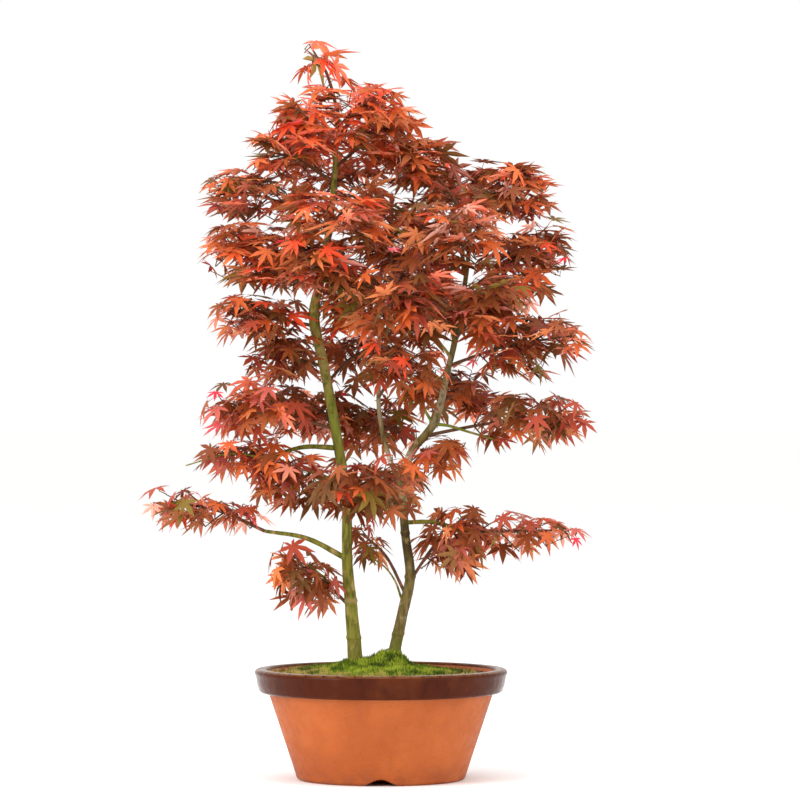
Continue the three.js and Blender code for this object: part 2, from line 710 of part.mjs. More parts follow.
  /** A leaf of a size at a site, turned further from its heading at each try; nothing if none fits. */
  fittingLeaf({ point, heading }, size, free, others) {
    const height = clamp((point.z - DROOP.lowAt) / (DROOP.highAt - DROOP.lowAt), 0, 1);
    for (let tries = 0; tries < LEAF.tries; tries++) {
      const turned = heading.clone().applyAxisAngle(UP, radians(LEAF.turn * tries * this.random()));
      const droop = radians(lerp(DROOP.low, DROOP.high, height) + DROOP.spread * this.random());
      const leaf = new Leaf(point, size, turned, droop, radians(DROOP.roll * this.random()));
      if ([...leaf.outline(), leaf.middle].every(free) && !leaf.meetsAny(others)) return leaf;
    }
    return null;
  }

  /** The whole mass as one solid: stem, twigs and leaves joined, and clear of the obstacles. */
  solid(limbs, masses, obstacles) {
    const free = (point) =>
      this.owns(point, masses) &&
      limbs.every((limb) => limb.distance(point) > (limb === this.bough ? GAP * 4 : LEAF.clear));
    const twigs = this.growTwigs(free);
    const leaves = this.growLeaves(twigs, free, obstacles);
    const bearing = twigs.filter((twig) => leaves.some((leaf) => leaf.twig === twig));
    const pieces = [this.stem, ...bearing].map((twig) => twig.solid());
    pieces.push(...leaves.map((leaf) => leaf.solid));
    const joined = wasm.Manifold.union(pieces).subtract(this.limb.solid(GAP));
    return largestPiece(joined).simplify(0.03);
  }
}

// ---------------------------------------------------------------------------------------------------------
// The whole plant

const limbs = {
  trunk_left: new Limb(TRUNK_LEFT, LIMB_SIDES.trunk, { levelFoot: true }),
  trunk_right: new Limb(TRUNK_RIGHT, LIMB_SIDES.trunk, { levelFoot: true }),
  stem_middle: new Limb(STEM_MIDDLE, LIMB_SIDES.stem),
};
const masses = Object.entries(MASSES).map(([name, row]) => new Mass(name, row, limbs));
const boughs = masses.filter((mass) => mass.bough);
const everyLimb = [...Object.values(limbs), ...boughs.map((mass) => mass.bough)];

const plant = new THREE.Group();

/** Adds one named piece with its finish. */
function add(name, solid, finish) {
  const mesh = new THREE.Mesh(geometryOf(solid), new THREE.MeshStandardMaterial(FINISHES[finish]));
  mesh.name = name;
  plant.add(mesh);
}

add("pot_bowl", potBowl(), "terracotta");
add("pot_collar", potCollar(), "glaze");
add("soil", soilPlug(), "soil");
add("moss", mossCushion([limbs.trunk_left, limbs.trunk_right]), "moss");
add("trunk_left", limbs.trunk_left.solid(), "bark");
add("trunk_right", limbs.trunk_right.solid(), "bark");
add("stem_middle", largestPiece(limbs.stem_middle.solid().subtract(limbs.trunk_right.solid(GAP))), "bark");
for (const mass of boughs) {
  const cut = mass.bough.solid().subtract(mass.limb.solid(GAP));
  add(`bough_${mass.name}`, largestPiece(cut), "bark");
}
const wood = everyLimb.map((limb) => limb.solid(GAP));
const stems = masses.map((mass) => mass.stem.solid(GAP));
const grown = [];
masses.forEach((mass, i) => {
  const obstacles = [...wood, ...grown, ...stems.filter((_, j) => j !== i)];
  grown.push(mass.solid(everyLimb, masses, obstacles));
  add(`foliage_${mass.name}`, grown[i], "foliage");
});

export default plant;
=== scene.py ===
"""A Japanese maple with two trunks in a round terracotta pot with a glazed collar: its looks.

Lengths are metres, +Z is up and the front is towards -Y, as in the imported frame. Stations and the rows of
the masses are written in millimetres, as a grower would measure the plant, and scaled on the way in.
"""

import logging
import math
from dataclasses import dataclass, field
from enum import Enum

import bpy
import numpy as np
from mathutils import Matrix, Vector
from numpy.typing import NDArray


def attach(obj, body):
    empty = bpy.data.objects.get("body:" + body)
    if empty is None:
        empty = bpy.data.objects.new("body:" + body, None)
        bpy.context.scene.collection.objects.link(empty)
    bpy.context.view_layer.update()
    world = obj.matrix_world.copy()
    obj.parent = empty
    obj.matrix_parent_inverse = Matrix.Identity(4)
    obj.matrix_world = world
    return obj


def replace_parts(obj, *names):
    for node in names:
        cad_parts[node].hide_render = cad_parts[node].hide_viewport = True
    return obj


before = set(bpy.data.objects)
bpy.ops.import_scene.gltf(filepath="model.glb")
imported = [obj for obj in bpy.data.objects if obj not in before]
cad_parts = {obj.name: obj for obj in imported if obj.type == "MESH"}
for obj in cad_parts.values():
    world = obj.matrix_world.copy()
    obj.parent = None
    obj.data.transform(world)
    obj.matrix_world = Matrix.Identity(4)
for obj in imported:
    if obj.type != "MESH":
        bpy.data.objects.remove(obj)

logging.basicConfig(level=logging.INFO, format="%(message)s")
LOG = logging.getLogger("maple")

Array = NDArray[np.float64]
Whole = NDArray[np.int64]
Colour = tuple[int, int, int]

MM = 0.001
UP = np.array([0.0, 0.0, 1.0])
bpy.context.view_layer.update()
SOIL_TOP = 124.0  # mm


# ------------------------------------------------------------------------------------------------------
# Numbers: seeded series, smooth noise, directions


def series_for(name: str) -> np.random.Generator:
    """The series of random numbers that belongs to a name.

    Args:
        name: The name of a mass or a piece.

    Returns:
        A generator whose seed is s = (31 s + letter) mod 2^32 over the letters, from s = 7.
    """
    state = 7
    for letter in name:
        state = (state * 31 + ord(letter)) % 2**32
    return np.random.default_rng(state)


def lattice_noise(points: Array, size: float, seed: int = 0) -> Array:
    """Smooth noise from random numbers on a cubic lattice.

    The value is the blend of the eight corner numbers of a cell, with the smooth weight w = t^2 (3 - 2 t)
    along each axis. A corner's number is the fractional part of sin(dot(corner, k) + seed) * 43758.5453.

    Args:
        points: Places, in metres, of shape (..., 3).
        size: The side of a lattice cell, in metres.
        seed: Picks another field of numbers.

    Returns:
        Values from -1 to 1, of shape (...).
    """
    scaled = points / size
    cell = np.floor(scaled)
    t = scaled - cell
    weight = t * t * (3 - 2 * t)
    total = np.zeros(points.shape[:-1])
    for corner in np.ndindex(2, 2, 2):
        place = cell + np.array(corner)
        phase = place @ np.array([12.9898, 78.233, 37.719]) + seed * 4.137
        value = np.modf(np.abs(np.sin(phase)) * 43758.5453)[0]
        share = np.prod(np.where(np.array(corner) == 1, weight, 1 - weight), axis=-1)
        total += share * value
    return total * 2 - 1


def layered_noise(points: Array, size: float, layers: int, seed: int = 0) -> Array:
    """Noise in layers, each half as large and half as strong: the sum of n(p, size / 2^k) / 2^k."""
    return sum(lattice_noise(points, size / 2**k, seed + k) / 2**k for k in range(layers))


def level(bearing: float | Array) -> Array:
    """The level direction (cos b, sin b, 0) of a bearing b in degrees."""
    angle = np.radians(bearing)
    return np.stack([np.cos(angle), np.sin(angle), np.zeros_like(angle)], axis=-1)


def unit(vectors: Array) -> Array:
    """Vectors of length one: v / |v|."""
    return vectors / np.maximum(np.linalg.norm(vectors, axis=-1, keepdims=True), 1e-12)


def turned(vectors: Array, axes: Array, angles: Array) -> Array:
    """Vectors turned about unit axes: v cos a + (k x v) sin a + k (k . v)(1 - cos a).

    Args:
        vectors: The vectors, of shape (n, 3).
        axes: The axes k, of shape (n, 3).
        angles: The angles a in radians, of shape (n,).

    Returns:
        The turned vectors, of shape (n, 3).
    """
    cosine = np.cos(angles)[:, None]
    along = np.sum(axes * vectors, axis=-1, keepdims=True)
    return vectors * cosine + np.cross(axes, vectors) * np.sin(angles)[:, None] + axes * along * (1 - cosine)


# ------------------------------------------------------------------------------------------------------
# Surfaces: meshes from whole arrays


@dataclass
class Surface:
    """A mesh in the making: its vertices, and its faces in arrays of equal corner counts."""

    vertices: Array
    faces: list[Whole]
    finish_of_face: list[Whole] = field(default_factory=list)

    def piece(self, name: str, finishes: list[bpy.types.Material], smooth: bool = True) -> bpy.types.Object:
        """Makes the surface a piece of the plant, riding on its one body.

        Args:
            name: The piece's name.
            finishes: Its materials, in the order that finish_of_face counts them.
            smooth: Whether its faces are shaded as one curved surface.

        Returns:
            The new object, at the origin.
        """
        mesh = bpy.data.meshes.new(name)
        counts = np.concatenate([np.full(len(part), part.shape[1]) for part in self.faces])
        corners = np.concatenate([part.ravel() for part in self.faces])
        mesh.vertices.add(len(self.vertices))
        mesh.vertices.foreach_set("co", self.vertices.astype(np.float32).ravel())
        mesh.loops.add(len(corners))
        mesh.loops.foreach_set("vertex_index", corners.astype(np.int32))
        mesh.polygons.add(len(counts))
        mesh.polygons.foreach_set("loop_start", (np.cumsum(counts) - counts).astype(np.int32))
        mesh.polygons.foreach_set("use_smooth", np.full(len(counts), smooth))
        for finish in finishes:
            mesh.materials.append(finish)
        if self.finish_of_face:
            mesh.polygons.foreach_set("material_index", np.concatenate(self.finish_of_face).astype(np.int32))
        mesh.update(calc_edges=True)
        mesh.validate()
        piece = bpy.data.objects.new(name, mesh)
        bpy.context.scene.collection.objects.link(piece)
        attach(piece, "root")
        LOG.info("%s: %d faces", name, len(counts))
        return piece


def ring_faces(rings: int, sides: int) -> Whole:
    """The quads of a grid of rings x sides vertices that closes on itself across the rings.

    Args:
        rings: The number of rings.
        sides: The number of vertices in each ring.

    Returns:
        Faces (i, j), (i, j + 1), (i + 1, j + 1), (i + 1, j) with j counted round.
    """
    i, j = np.meshgrid(np.arange(rings - 1), np.arange(sides), indexing="ij")
    after = (j + 1) % sides
    quads = [i * sides + j, i * sides + after, (i + 1) * sides + after, (i + 1) * sides + j]
    return np.stack(quads, axis=-1).reshape(-1, 4)


def turned_points(profile: Array, sides: int) -> Array:
    """A profile carried round the axis: (r cos a, r sin a, z) for each (r, z), with a = 2 pi j / sides.

    Args:
        profile: Points (r, z), of shape (n, 2).
        sides: The number of sides.

    Returns:
        Points, of shape (n * sides, 3), ring by ring.
    """
    angle = 2 * np.pi * np.arange(sides) / sides
    radius, height = profile[:, :1], profile[:, 1:]
    ring = [radius * np.cos(angle), radius * np.sin(angle), np.repeat(height, sides, axis=1)]
    return np.stack(ring, axis=-1).reshape(-1, 3)


def turned_body(profile: Array, sides: int) -> Surface:
    """A turned body whose profile begins and ends on the axis, at its poles.

    Args:
        profile: Points (r, z), of shape (n, 2), from the lower pole outwards to the upper pole.
        sides: The number of sides.

    Returns:
        The closed surface, facing outwards.
    """
    poles = np.array([[0, 0, profile[0, 1]], [0, 0, profile[-1, 1]]])
    vertices = np.concatenate([turned_points(profile[1:-1], sides), poles])
    rings = len(profile) - 2
    j = np.arange(sides)
    after = (j + 1) % sides
    low = np.stack([np.full(sides, rings * sides), after, j], axis=-1)
    last = (rings - 1) * sides
    high = np.stack([np.full(sides, rings * sides + 1), last + j, last + after], axis=-1)
    return Surface(vertices, [ring_faces(rings, sides), low, high])


def turned_ring(profile: Array, sides: int) -> Surface:
    """A turned ring, whose profile closes on itself away from the axis.

    Args:
        profile: Points (r, z), of shape (n, 2), anticlockwise when r points right.
        sides: The number of sides.

    Returns:
        The closed surface, facing outwards.
    """
    count = len(profile)
    faces = ring_faces(count + 1, sides) % (count * sides)
    return Surface(turned_points(profile, sides), [faces])


def tubes(centres: Array, radii: Array, sides: int) -> Surface:
    """Many closed tubes along paths of the same number of rings.

    A ring is c + r (u cos a + v sin a), with u the level direction across the path's mean direction, made
    square to the tangent t, and v = t x u. Each end is closed with one flat face.

    Args:
        centres: The paths' points, of shape (tubes, rings, 3).
        radii: The tubes' radii there, of shape (tubes, rings).
        sides: The number of sides.

    Returns:
        The closed surfaces, facing outwards.
    """
    count, rings, _ = centres.shape
    tangent = unit(np.gradient(centres, axis=1))
    mean = unit(centres[:, -1] - centres[:, 0])
    steep = np.abs(mean[:, 2:]) > 0.8
    guide = np.where(steep, np.array([1.0, 0.0, 0.0]), UP)[:, None, :]
    across = unit(guide - tangent * np.sum(guide * tangent, axis=-1, keepdims=True))
    beside = np.cross(tangent, across)
    angle = (2 * np.pi * np.arange(sides) / sides)[:, None]
    spoke = across[:, :, None, :] * np.cos(angle) + beside[:, :, None, :] * np.sin(angle)
    vertices = centres[:, :, None, :] + radii[:, :, None, None] * spoke
    first = (np.arange(count) * rings * sides)[:, None, None]
    walls = (ring_faces(rings, sides)[None] + first).reshape(-1, 4)
    ring = np.arange(sides)[None, :]
    foot = ring[:, ::-1] + first[:, 0]
    tip = ring + (rings - 1) * sides + first[:, 0]
    return Surface(vertices.reshape(-1, 3), [walls, foot, tip])


def joined(surfaces: list[Surface]) -> Surface:
    """Several surfaces as one.

    Args:
        surfaces: The surfaces.

    Returns:
        One surface with all their vertices, and faces counted on from one to the next.
    """
    offset = 0
    faces: list[Whole] = []
    for surface in surfaces:
        faces += [part + offset for part in surface.faces]
        offset += len(surface.vertices)
    return Surface(np.concatenate([surface.vertices for surface in surfaces]), faces)


def scattered(shape: Array, faces: list[Whole], places: Array, axes: Array) -> Surface:
    """Copies of a small shape, each placed by its own three axes.

    A vertex is p + x A + y B + z C for the shape's (x, y, z), the place p and the axes A, B, C.

    Args:
        shape: The shape's vertices, of shape (m, 3), or one such set for each copy, (n, m, 3).
        faces: Its faces.
        places: The copies' places, of shape (n, 3).
        axes: Their axes with their lengths, of shape (n, 3, 3).

    Returns:
        The joined copies.
    """
    vertices = places[:, None, :] + np.matmul(shape, axes)
    first = (np.arange(len(places)) * vertices.shape[1])[:, None, None]
    copied = [(part[None] + first).reshape(-1, part.shape[1]) for part in faces]
    return Surface(vertices.reshape(-1, 3), copied)


# ------------------------------------------------------------------------------------------------------
# Finishes


def paint(colour: Colour) -> tuple[float, float, float, float]:
    """A colour as the linear light that a shader takes: ((c + 0.055) / 1.055)^2.4.

    Args:
        colour: Red, green and blue, from 0 to 255.

    Returns:
        Red, green, blue and one, from 0 to 1.
    """
    share = np.array(colour) / 255
    linear = np.where(share <= 0.04045, share / 12.92, ((share + 0.055) / 1.055) ** 2.4)
    return (*linear.tolist(), 1.0)


class Bench:
    """A material's nodes, with a short way to add each kind that the finishes need."""

    def __init__(self, name: str) -> None:
        """Starts a material whose patterns read object coordinates.

        Args:
            name: The material's name.
        """
        self.material = bpy.data.materials.new(name)
        self.material.use_nodes = True
        self.nodes = self.material.node_tree.nodes
        self.links = self.material.node_tree.links
        self.shader = self.nodes["Principled BSDF"]
        self.place = self.nodes.new("ShaderNodeTexCoord").outputs["Object"]

    def stretched(self, scale: tuple[float, float, float]) -> bpy.types.NodeSocket:
        """Object coordinates, scaled along the three axes.

        Args:
            scale: The scale along each axis.

        Returns:
            The coordinates' socket.
        """
        mapping = self.nodes.new("ShaderNodeMapping")
        mapping.inputs["Scale"].default_value = scale
        self.links.new(self.place, mapping.inputs["Vector"])
        return mapping.outputs["Vector"]

    def noise(
        self, size: float, detail: float = 3, stretch: tuple[float, float, float] = (1, 1, 1)
    ) -> bpy.types.NodeSocket:
        """Noise whose lumps are about one size across.

        Args:
            size: The lumps' size, in metres.
            detail: How many finer layers it has.
            stretch: How much denser the pattern is along each axis.

        Returns:
            The noise's value, about 0 to 1.
        """
        node = self.nodes.new("ShaderNodeTexNoise")
        node.inputs["Scale"].default_value = 1 / size
        node.inputs["Detail"].default_value = detail
        self.links.new(self.stretched(stretch), node.inputs["Vector"])
        return node.outputs["Fac"]

    def between(
        self, value: bpy.types.NodeSocket, low: float, high: float, least: float = 0, most: float = 1
    ) -> bpy.types.NodeSocket:
        """A value carried smoothly from the range low..high to least..most.

        Args:
            value: The value's socket.
            low: Where the range begins.
            high: Where it ends.
            least: The result at low and below.
            most: The result at high and above.

        Returns:
            The result's socket.
        """
        node = self.nodes.new("ShaderNodeMapRange")
        node.interpolation_type = "SMOOTHSTEP"
        for key, number in {"From Min": low, "From Max": high, "To Min": least, "To Max": most}.items():
            node.inputs[key].default_value = number
        self.links.new(value, node.inputs["Value"])
        return node.outputs["Result"]

    def times(self, a: bpy.types.NodeSocket, b: bpy.types.NodeSocket) -> bpy.types.NodeSocket:
        """The product of two values.

        Args:
            a: One value's socket.
            b: The other's.

        Returns:
            The product's socket.
        """
        node = self.nodes.new("ShaderNodeMath")
        node.operation = "MULTIPLY"
        self.links.new(a, node.inputs[0])
        self.links.new(b, node.inputs[1])
        return node.outputs["Value"]

    def height(self) -> bpy.types.NodeSocket:
        """The height above the pot's underside.

        Returns:
            The height's socket, in metres.
        """
        node = self.nodes.new("ShaderNodeSeparateXYZ")
        self.links.new(self.place, node.inputs["Vector"])
        return node.outputs["Z"]

    def band(self, middle: float, half: float) -> bpy.types.NodeSocket:
        """One within a band of heights, falling to nothing at its edges.

        Args:
            middle: The band's middle height, in metres.
            half: Half its height, in metres.

        Returns:
            The share's socket.
        """
        height = self.height()
        rising = self.between(height, middle - half, middle)
        falling = self.between(height, middle, middle + half, 1, 0)
        return self.times(rising, falling)

    def over(
        self, share: bpy.types.NodeSocket, under: Colour | bpy.types.NodeSocket, colour: Colour
    ) -> bpy.types.NodeSocket:
        """A colour laid over another where a share is high.

        Args:
            share: How much of the new colour shows, from 0 to 1.
            under: The colour below, or its socket.
            colour: The colour above.

        Returns:
            The mixed colour's socket.
        """
        node = self.nodes.new("ShaderNodeMix")
        node.data_type = "RGBA"
        self.links.new(share, node.inputs[0])
        if isinstance(under, tuple):
            node.inputs[6].default_value = paint(under)
        else:
            self.links.new(under, node.inputs[6])
        node.inputs[7].default_value = paint(colour)
        return node.outputs[2]

    def relief(self, value: bpy.types.NodeSocket, depth: float) -> None:
        """Raises the surface by a value.

        Args:
            value: The relief, from 0 to 1.
            depth: Its full depth, in metres.
        """
        node = self.nodes.new("ShaderNodeBump")
        node.inputs["Distance"].default_value = depth
        self.links.new(value, node.inputs["Height"])
        self.links.new(node.outputs["Normal"], self.shader.inputs["Normal"])

    def feed(self, key: str, value: bpy.types.NodeSocket | float | tuple) -> None:
        """Sets one of the shader's inputs.

        Args:
            key: The input's name.
            value: A socket that feeds it, or its number or colour.
        """
        if isinstance(value, bpy.types.NodeSocket):
            self.links.new(value, self.shader.inputs[key])
        else:
            self.shader.inputs[key].default_value = value


@dataclass(frozen=True)
class Terracotta:
    """Smooth fired clay with faint clouds, fine grit, and darker towards the foot."""

    clay: Colour = (166, 80, 27)
    pale: Colour = (180, 91, 35)
    dark: Colour = (150, 69, 22)
    grit: Colour = (120, 56, 24)
    foot_dirt: Colour = (146, 72, 34)

    def material(self) -> bpy.types.Material:
        """Builds the finish: clouds, streaks, grit and a darkening towards the foot over the clay.

        Returns:
            The material.
        """
        bench = Bench("terracotta_finish")
        colour = bench.over(bench.between(bench.noise(0.07, 4), 0.42, 0.66), self.clay, self.pale)
        streaks = bench.noise(0.03, 4, (1, 1, 0.25))
        colour = bench.over(bench.between(streaks, 0.5, 0.78, 0, 0.4), colour, self.dark)
        grit = bench.between(bench.noise(0.0016, 1), 0.66, 0.74, 0, 0.6)
        colour = bench.over(grit, colour, self.grit)
        # Darker towards the foot: strongest at the base, gone 30 mm up, ragged by noise.
        low = bench.between(bench.height(), 0.002, 0.03, 0.75, 0)
        foot_darkening = bench.times(low, bench.between(bench.noise(0.012, 4), 0.35, 0.65))
        colour = bench.over(foot_darkening, colour, self.foot_dirt)
        bench.feed("Base Color", colour)
        bench.feed("Roughness", bench.between(bench.noise(0.01, 3), 0.3, 0.7, 0.5, 0.68))
        bench.feed("Specular IOR Level", 0.3)
        bench.relief(bench.noise(0.0022, 4), 0.0005)
        return bench.material


@dataclass(frozen=True)
class Glaze:
    """Thick brown glaze, run unevenly, that breaks paler over the lip."""

    body: Colour = (70, 25, 5)
    pool: Colour = (52, 17, 3)
    haze: Colour = (86, 38, 14)
    lip: Colour = (118, 74, 40)
    lip_height: float = 0.1305  # m, above which the glaze is broken
    lip_fade: float = 0.0025  # m, below that height, over which it breaks

    def material(self) -> bpy.types.Material:
        """Builds the finish: haze, pools and the broken lip, glassy all over.

        Returns:
            The material.
        """
        bench = Bench("brown_glaze_finish")
        colour = bench.over(bench.between(bench.noise(0.045, 3), 0.5, 0.72), self.body, self.haze)
        runs = bench.noise(0.014, 4, (1, 1, 0.4))
        colour = bench.over(bench.between(runs, 0.5, 0.75, 0, 0.8), colour, self.pool)
        edge = bench.between(bench.height(), self.lip_height - self.lip_fade, self.lip_height)
        worn = bench.times(edge, bench.between(bench.noise(0.006, 4), 0.3, 0.6))
        colour = bench.over(worn, colour, self.lip)
        bench.feed("Base Color", colour)
        bench.feed("Roughness", bench.between(bench.noise(0.02, 3), 0.35, 0.7, 0.16, 0.26))
        bench.feed("Specular IOR Level", 0.09)
        bench.relief(bench.noise(0.009, 3), 0.0006)
        return bench.material


@dataclass(frozen=True)
class Earth:
    """Crumbly potting soil with paler grit."""

    dark: Colour = (70, 46, 30)
    pale: Colour = (126, 88, 58)
    grit: Colour = (158, 128, 96)

    def material(self) -> bpy.types.Material:
        """Builds the finish: patches and grit, dull and rough.

        Returns:
            The material.
        """
        bench = Bench("soil_finish")
        colour = bench.over(bench.between(bench.noise(0.008, 5), 0.38, 0.66), self.dark, self.pale)
        colour = bench.over(bench.between(bench.noise(0.002, 2), 0.64, 0.72), colour, self.grit)
        bench.feed("Base Color", colour)
        bench.feed("Roughness", bench.between(bench.noise(0.004, 2), 0.3, 0.7, 0.85, 1.0))
        bench.relief(bench.noise(0.0025, 5), 0.0012)
        return bench.material


@dataclass(frozen=True)
class MossCarpet:
    """The dense ground of a moss cushion, dark green with brown and bright patches."""

    deep: Colour = (58, 64, 14)
    bright: Colour = (122, 132, 34)
    brown: Colour = (96, 74, 34)

    def material(self) -> bpy.types.Material:
        """Builds the finish: patches of three colours with a velvety sheen.

        Returns:
            The material.
        """
        bench = Bench("moss_ground_finish")
        colour = bench.over(bench.between(bench.noise(0.006, 4), 0.4, 0.62), self.deep, self.bright)
        colour = bench.over(bench.between(bench.noise(0.022, 3), 0.58, 0.7), colour, self.brown)
        bench.feed("Base Color", colour)
        bench.feed("Roughness", bench.between(bench.noise(0.003, 2), 0.3, 0.7, 0.8, 1.0))
        bench.feed("Sheen Weight", 0.2)
        bench.relief(bench.noise(0.0015, 4), 0.001)
        return bench.material


class MossTint(Enum):
    """The colours of moss shoots: three greens from deep to fresh, and the dry ones at the edge."""

    DEEP = (62, 80, 8)
    GREEN = (108, 132, 18)
    FRESH = (170, 186, 52)
    DRY = (182, 158, 82)


@dataclass(frozen=True)
class Bark:
    """Smooth young bark with fine lengthwise streaks and patches at some heights.

    Each band is (middle height in mm, half height in mm, colour, strength).
    """

    name: str
    ground: Colour
    streak: Colour
    patch: Colour
    bands: tuple[tuple[float, float, Colour, float], ...] = ()

    def material(self) -> bpy.types.Material:
        """Builds the finish: streaks and blotches, then the bands, with a fine grain in relief.

        Returns:
            The material.
        """
        bench = Bench(self.name)
        streaks = bench.noise(0.004, 4, (1, 1, 0.22))
        colour = bench.over(bench.between(streaks, 0.4, 0.66), self.ground, self.streak)
        blotches = bench.noise(0.011, 3, (1, 1, 0.6))
        colour = bench.over(bench.between(blotches, 0.52, 0.68, 0, 0.85), colour, self.patch)
        for middle, half, band, strength in self.bands:
            ragged = bench.between(bench.noise(0.007, 3), 0.3, 0.5, 0, strength)
            colour = bench.over(bench.times(bench.band(middle * MM, half * MM), ragged), colour, band)
        bench.feed("Base Color", colour)
        bench.feed("Roughness", bench.between(bench.noise(0.003, 3), 0.3, 0.7, 0.55, 0.8))
        bench.feed("Specular IOR Level", 0.25)
        bench.relief(bench.noise(0.0016, 4, (1, 1, 0.35)), 0.0009)
        return bench.material


@dataclass(frozen=True)
class Plain:
    """A plain finish for moss shoots, stalks, one side of a tint of leaves, and paper."""

    name: str
    colour: Colour
    roughness: float
    gloss: float  # specular level

    def material(self) -> bpy.types.Material:
        """Builds the finish: one colour all over.

        Returns:
            The material.
        """
        bench = Bench(self.name)
        bench.feed("Base Color", paint(self.colour))
        bench.feed("Roughness", self.roughness)
        bench.feed("Specular IOR Level", self.gloss)
        return bench.material


# ------------------------------------------------------------------------------------------------------
# The pot, its soil and its moss


@dataclass
class Pot:
    """The terracotta bowl and the glazed collar round its mouth, in millimetres."""

    height: float = 131
    foot_radius: float = 101
    foot_round: float = 6
    slope: float = 1 / 3  # how far the wall leans out for each unit of height
    wall: float = 8
    floor: float = 11
    floor_round: float = 12  # of the corner between floor and wall
    rim_round: float = 1.5  # of the bowl's own rim, under the collar
    collar_radius: float = 150
    collar_taper: float = 5  # how much narrower the collar is below
    collar_height: float = 28
    collar_round: float = 5  # of its corners outside
    mouth_radius: float = 136
    mouth_round: float = 2.5  # of its corner inside
    lip: float = 3  # how far the collar stands over the bowl
    gap: float = 0.3  # between pieces that touch
    drains: int = 3
    drain_width: float = 46
    drain_rise: float = 8
    drain_reach: float = 50  # from the axis to a groove's inner end
    drain_ramp: float = 8  # the length over which it rises there
    sides: int = 240

    def outside(self, height: float) -> float:
        """The bowl's outer radius at a height: foot + (z - round) * slope."""
        return self.foot_radius + (height - self.foot_round) * self.slope

    def bowl_profile(self) -> Array:
        """The bowl's profile: under the foot, up the outside, over the rim, down the inside.

        The foot's corner is a quarter circle: (reach + r cos a, r + r sin a), for a from -90 to 0 degrees.

        Returns:
            Points (r, z), of shape (n, 2), in millimetres.
        """
        turn = np.linspace(-np.pi / 2, 0, 7)
        reach, rise = self.foot_radius - self.foot_round, self.foot_round
        foot = np.stack([reach + rise * np.cos(turn), rise + rise * np.sin(turn)], axis=-1)
        under = np.stack([np.linspace(0, reach, 24)[:-1], np.zeros(23)], axis=-1)
        top = self.height - self.lip
        climb = np.linspace(self.foot_round + 2, top - self.rim_round, 40)
        outside = np.stack([self.outside(climb), climb], axis=-1)
        edge = self.outside(top)
        rim = [[edge - self.rim_round, top], [edge - self.wall + self.rim_round, top]]
        descent = np.linspace(top - self.rim_round, self.floor + self.floor_round, 14)
        inside = np.stack([self.outside(descent) - self.wall, descent], axis=-1)
        reach_inside = self.outside(self.floor) - self.wall - self.floor_round
        hollow = [[reach_inside, self.floor], [0, self.floor]]
        return np.concatenate([under, foot, outside, np.array(rim), inside, np.array(hollow)])

    def bowl(self) -> Surface:
        """The bowl, with drainage grooves arched up across its foot.

        Within a groove the underside is lifted to rise * (1 - (x / half)^2)^2, where x is the distance
        across the groove, between the groove's inner end and the outside.

        Returns:
            The closed surface, in metres.
        """
        surface = turned_body(self.bowl_profile(), self.sides)
        vertices = surface.vertices
        under = vertices[:, 2] < self.drain_rise + 0.01
        for drain in range(self.drains):
            bearing = -90 + 360 * drain / self.drains
            outward, across = level(bearing), level(bearing + 90)
            out, off = vertices @ outward, np.abs(vertices @ across)
            share = np.clip(1 - (off / (self.drain_width / 2)) ** 2, 0, 1) ** 2
            ramp = np.clip((out - self.drain_reach) / self.drain_ramp, 0, 1)
            lifted = np.maximum(vertices[:, 2], self.drain_rise * share * ramp)
            vertices[:, 2] = np.where(under, lifted, vertices[:, 2])
        vertices *= MM
        return surface

    def collar(self) -> Surface:
        """The collar: a leaning band with a rounded lower edge and a thick rounded lip.

        Returns:
            The closed surface, in metres, whose profile's corners are quarter circles.
        """
        bottom = self.height - self.collar_height
        lower = self.collar_radius - self.collar_taper
        under = self.height - self.lip + self.gap
        corner = np.linspace(-np.pi / 2, 0, 7)[:, None]
        arc = np.concatenate([np.cos(corner), np.sin(corner)], axis=-1)
        bend = self.collar_round
        low = np.array([lower - bend, bottom + bend]) + bend * arc
        climb = np.linspace(bottom + bend + 3, self.height - bend - 3, 8)[:, None]
        lean = lower + self.collar_taper * (climb - bottom) / self.collar_height
        outside = np.concatenate([lean, climb], axis=-1)
        high = np.array([self.collar_radius - bend, self.height - bend]) + bend * arc[::-1] * [1, -1]
        turn = np.linspace(np.pi / 2, np.pi, 5)[:, None]
        inner = np.concatenate([np.cos(turn), np.sin(turn)], axis=-1)
        bend = self.mouth_round
        mouth = np.array([self.mouth_radius + bend, self.height - bend]) + bend * inner
        inside = [[self.mouth_radius - 0.5, under], [self.outside(under) + self.gap, under]]
        back = [[self.outside(bottom) + self.gap, bottom]]
        profile = np.concatenate([back, low, outside, high, mouth, np.array(inside)])
        surface = turned_ring(profile, self.sides)
        surface.vertices *= MM
        return surface

    def build(self) -> None:
        """Builds both pieces and dresses them."""
        bowl = self.bowl().piece("terracotta_bowl", [Terracotta().material()])
        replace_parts(bowl, "pot_bowl")
        collar = self.collar().piece("glazed_collar", [Glaze().material()])
        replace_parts(collar, "pot_collar")


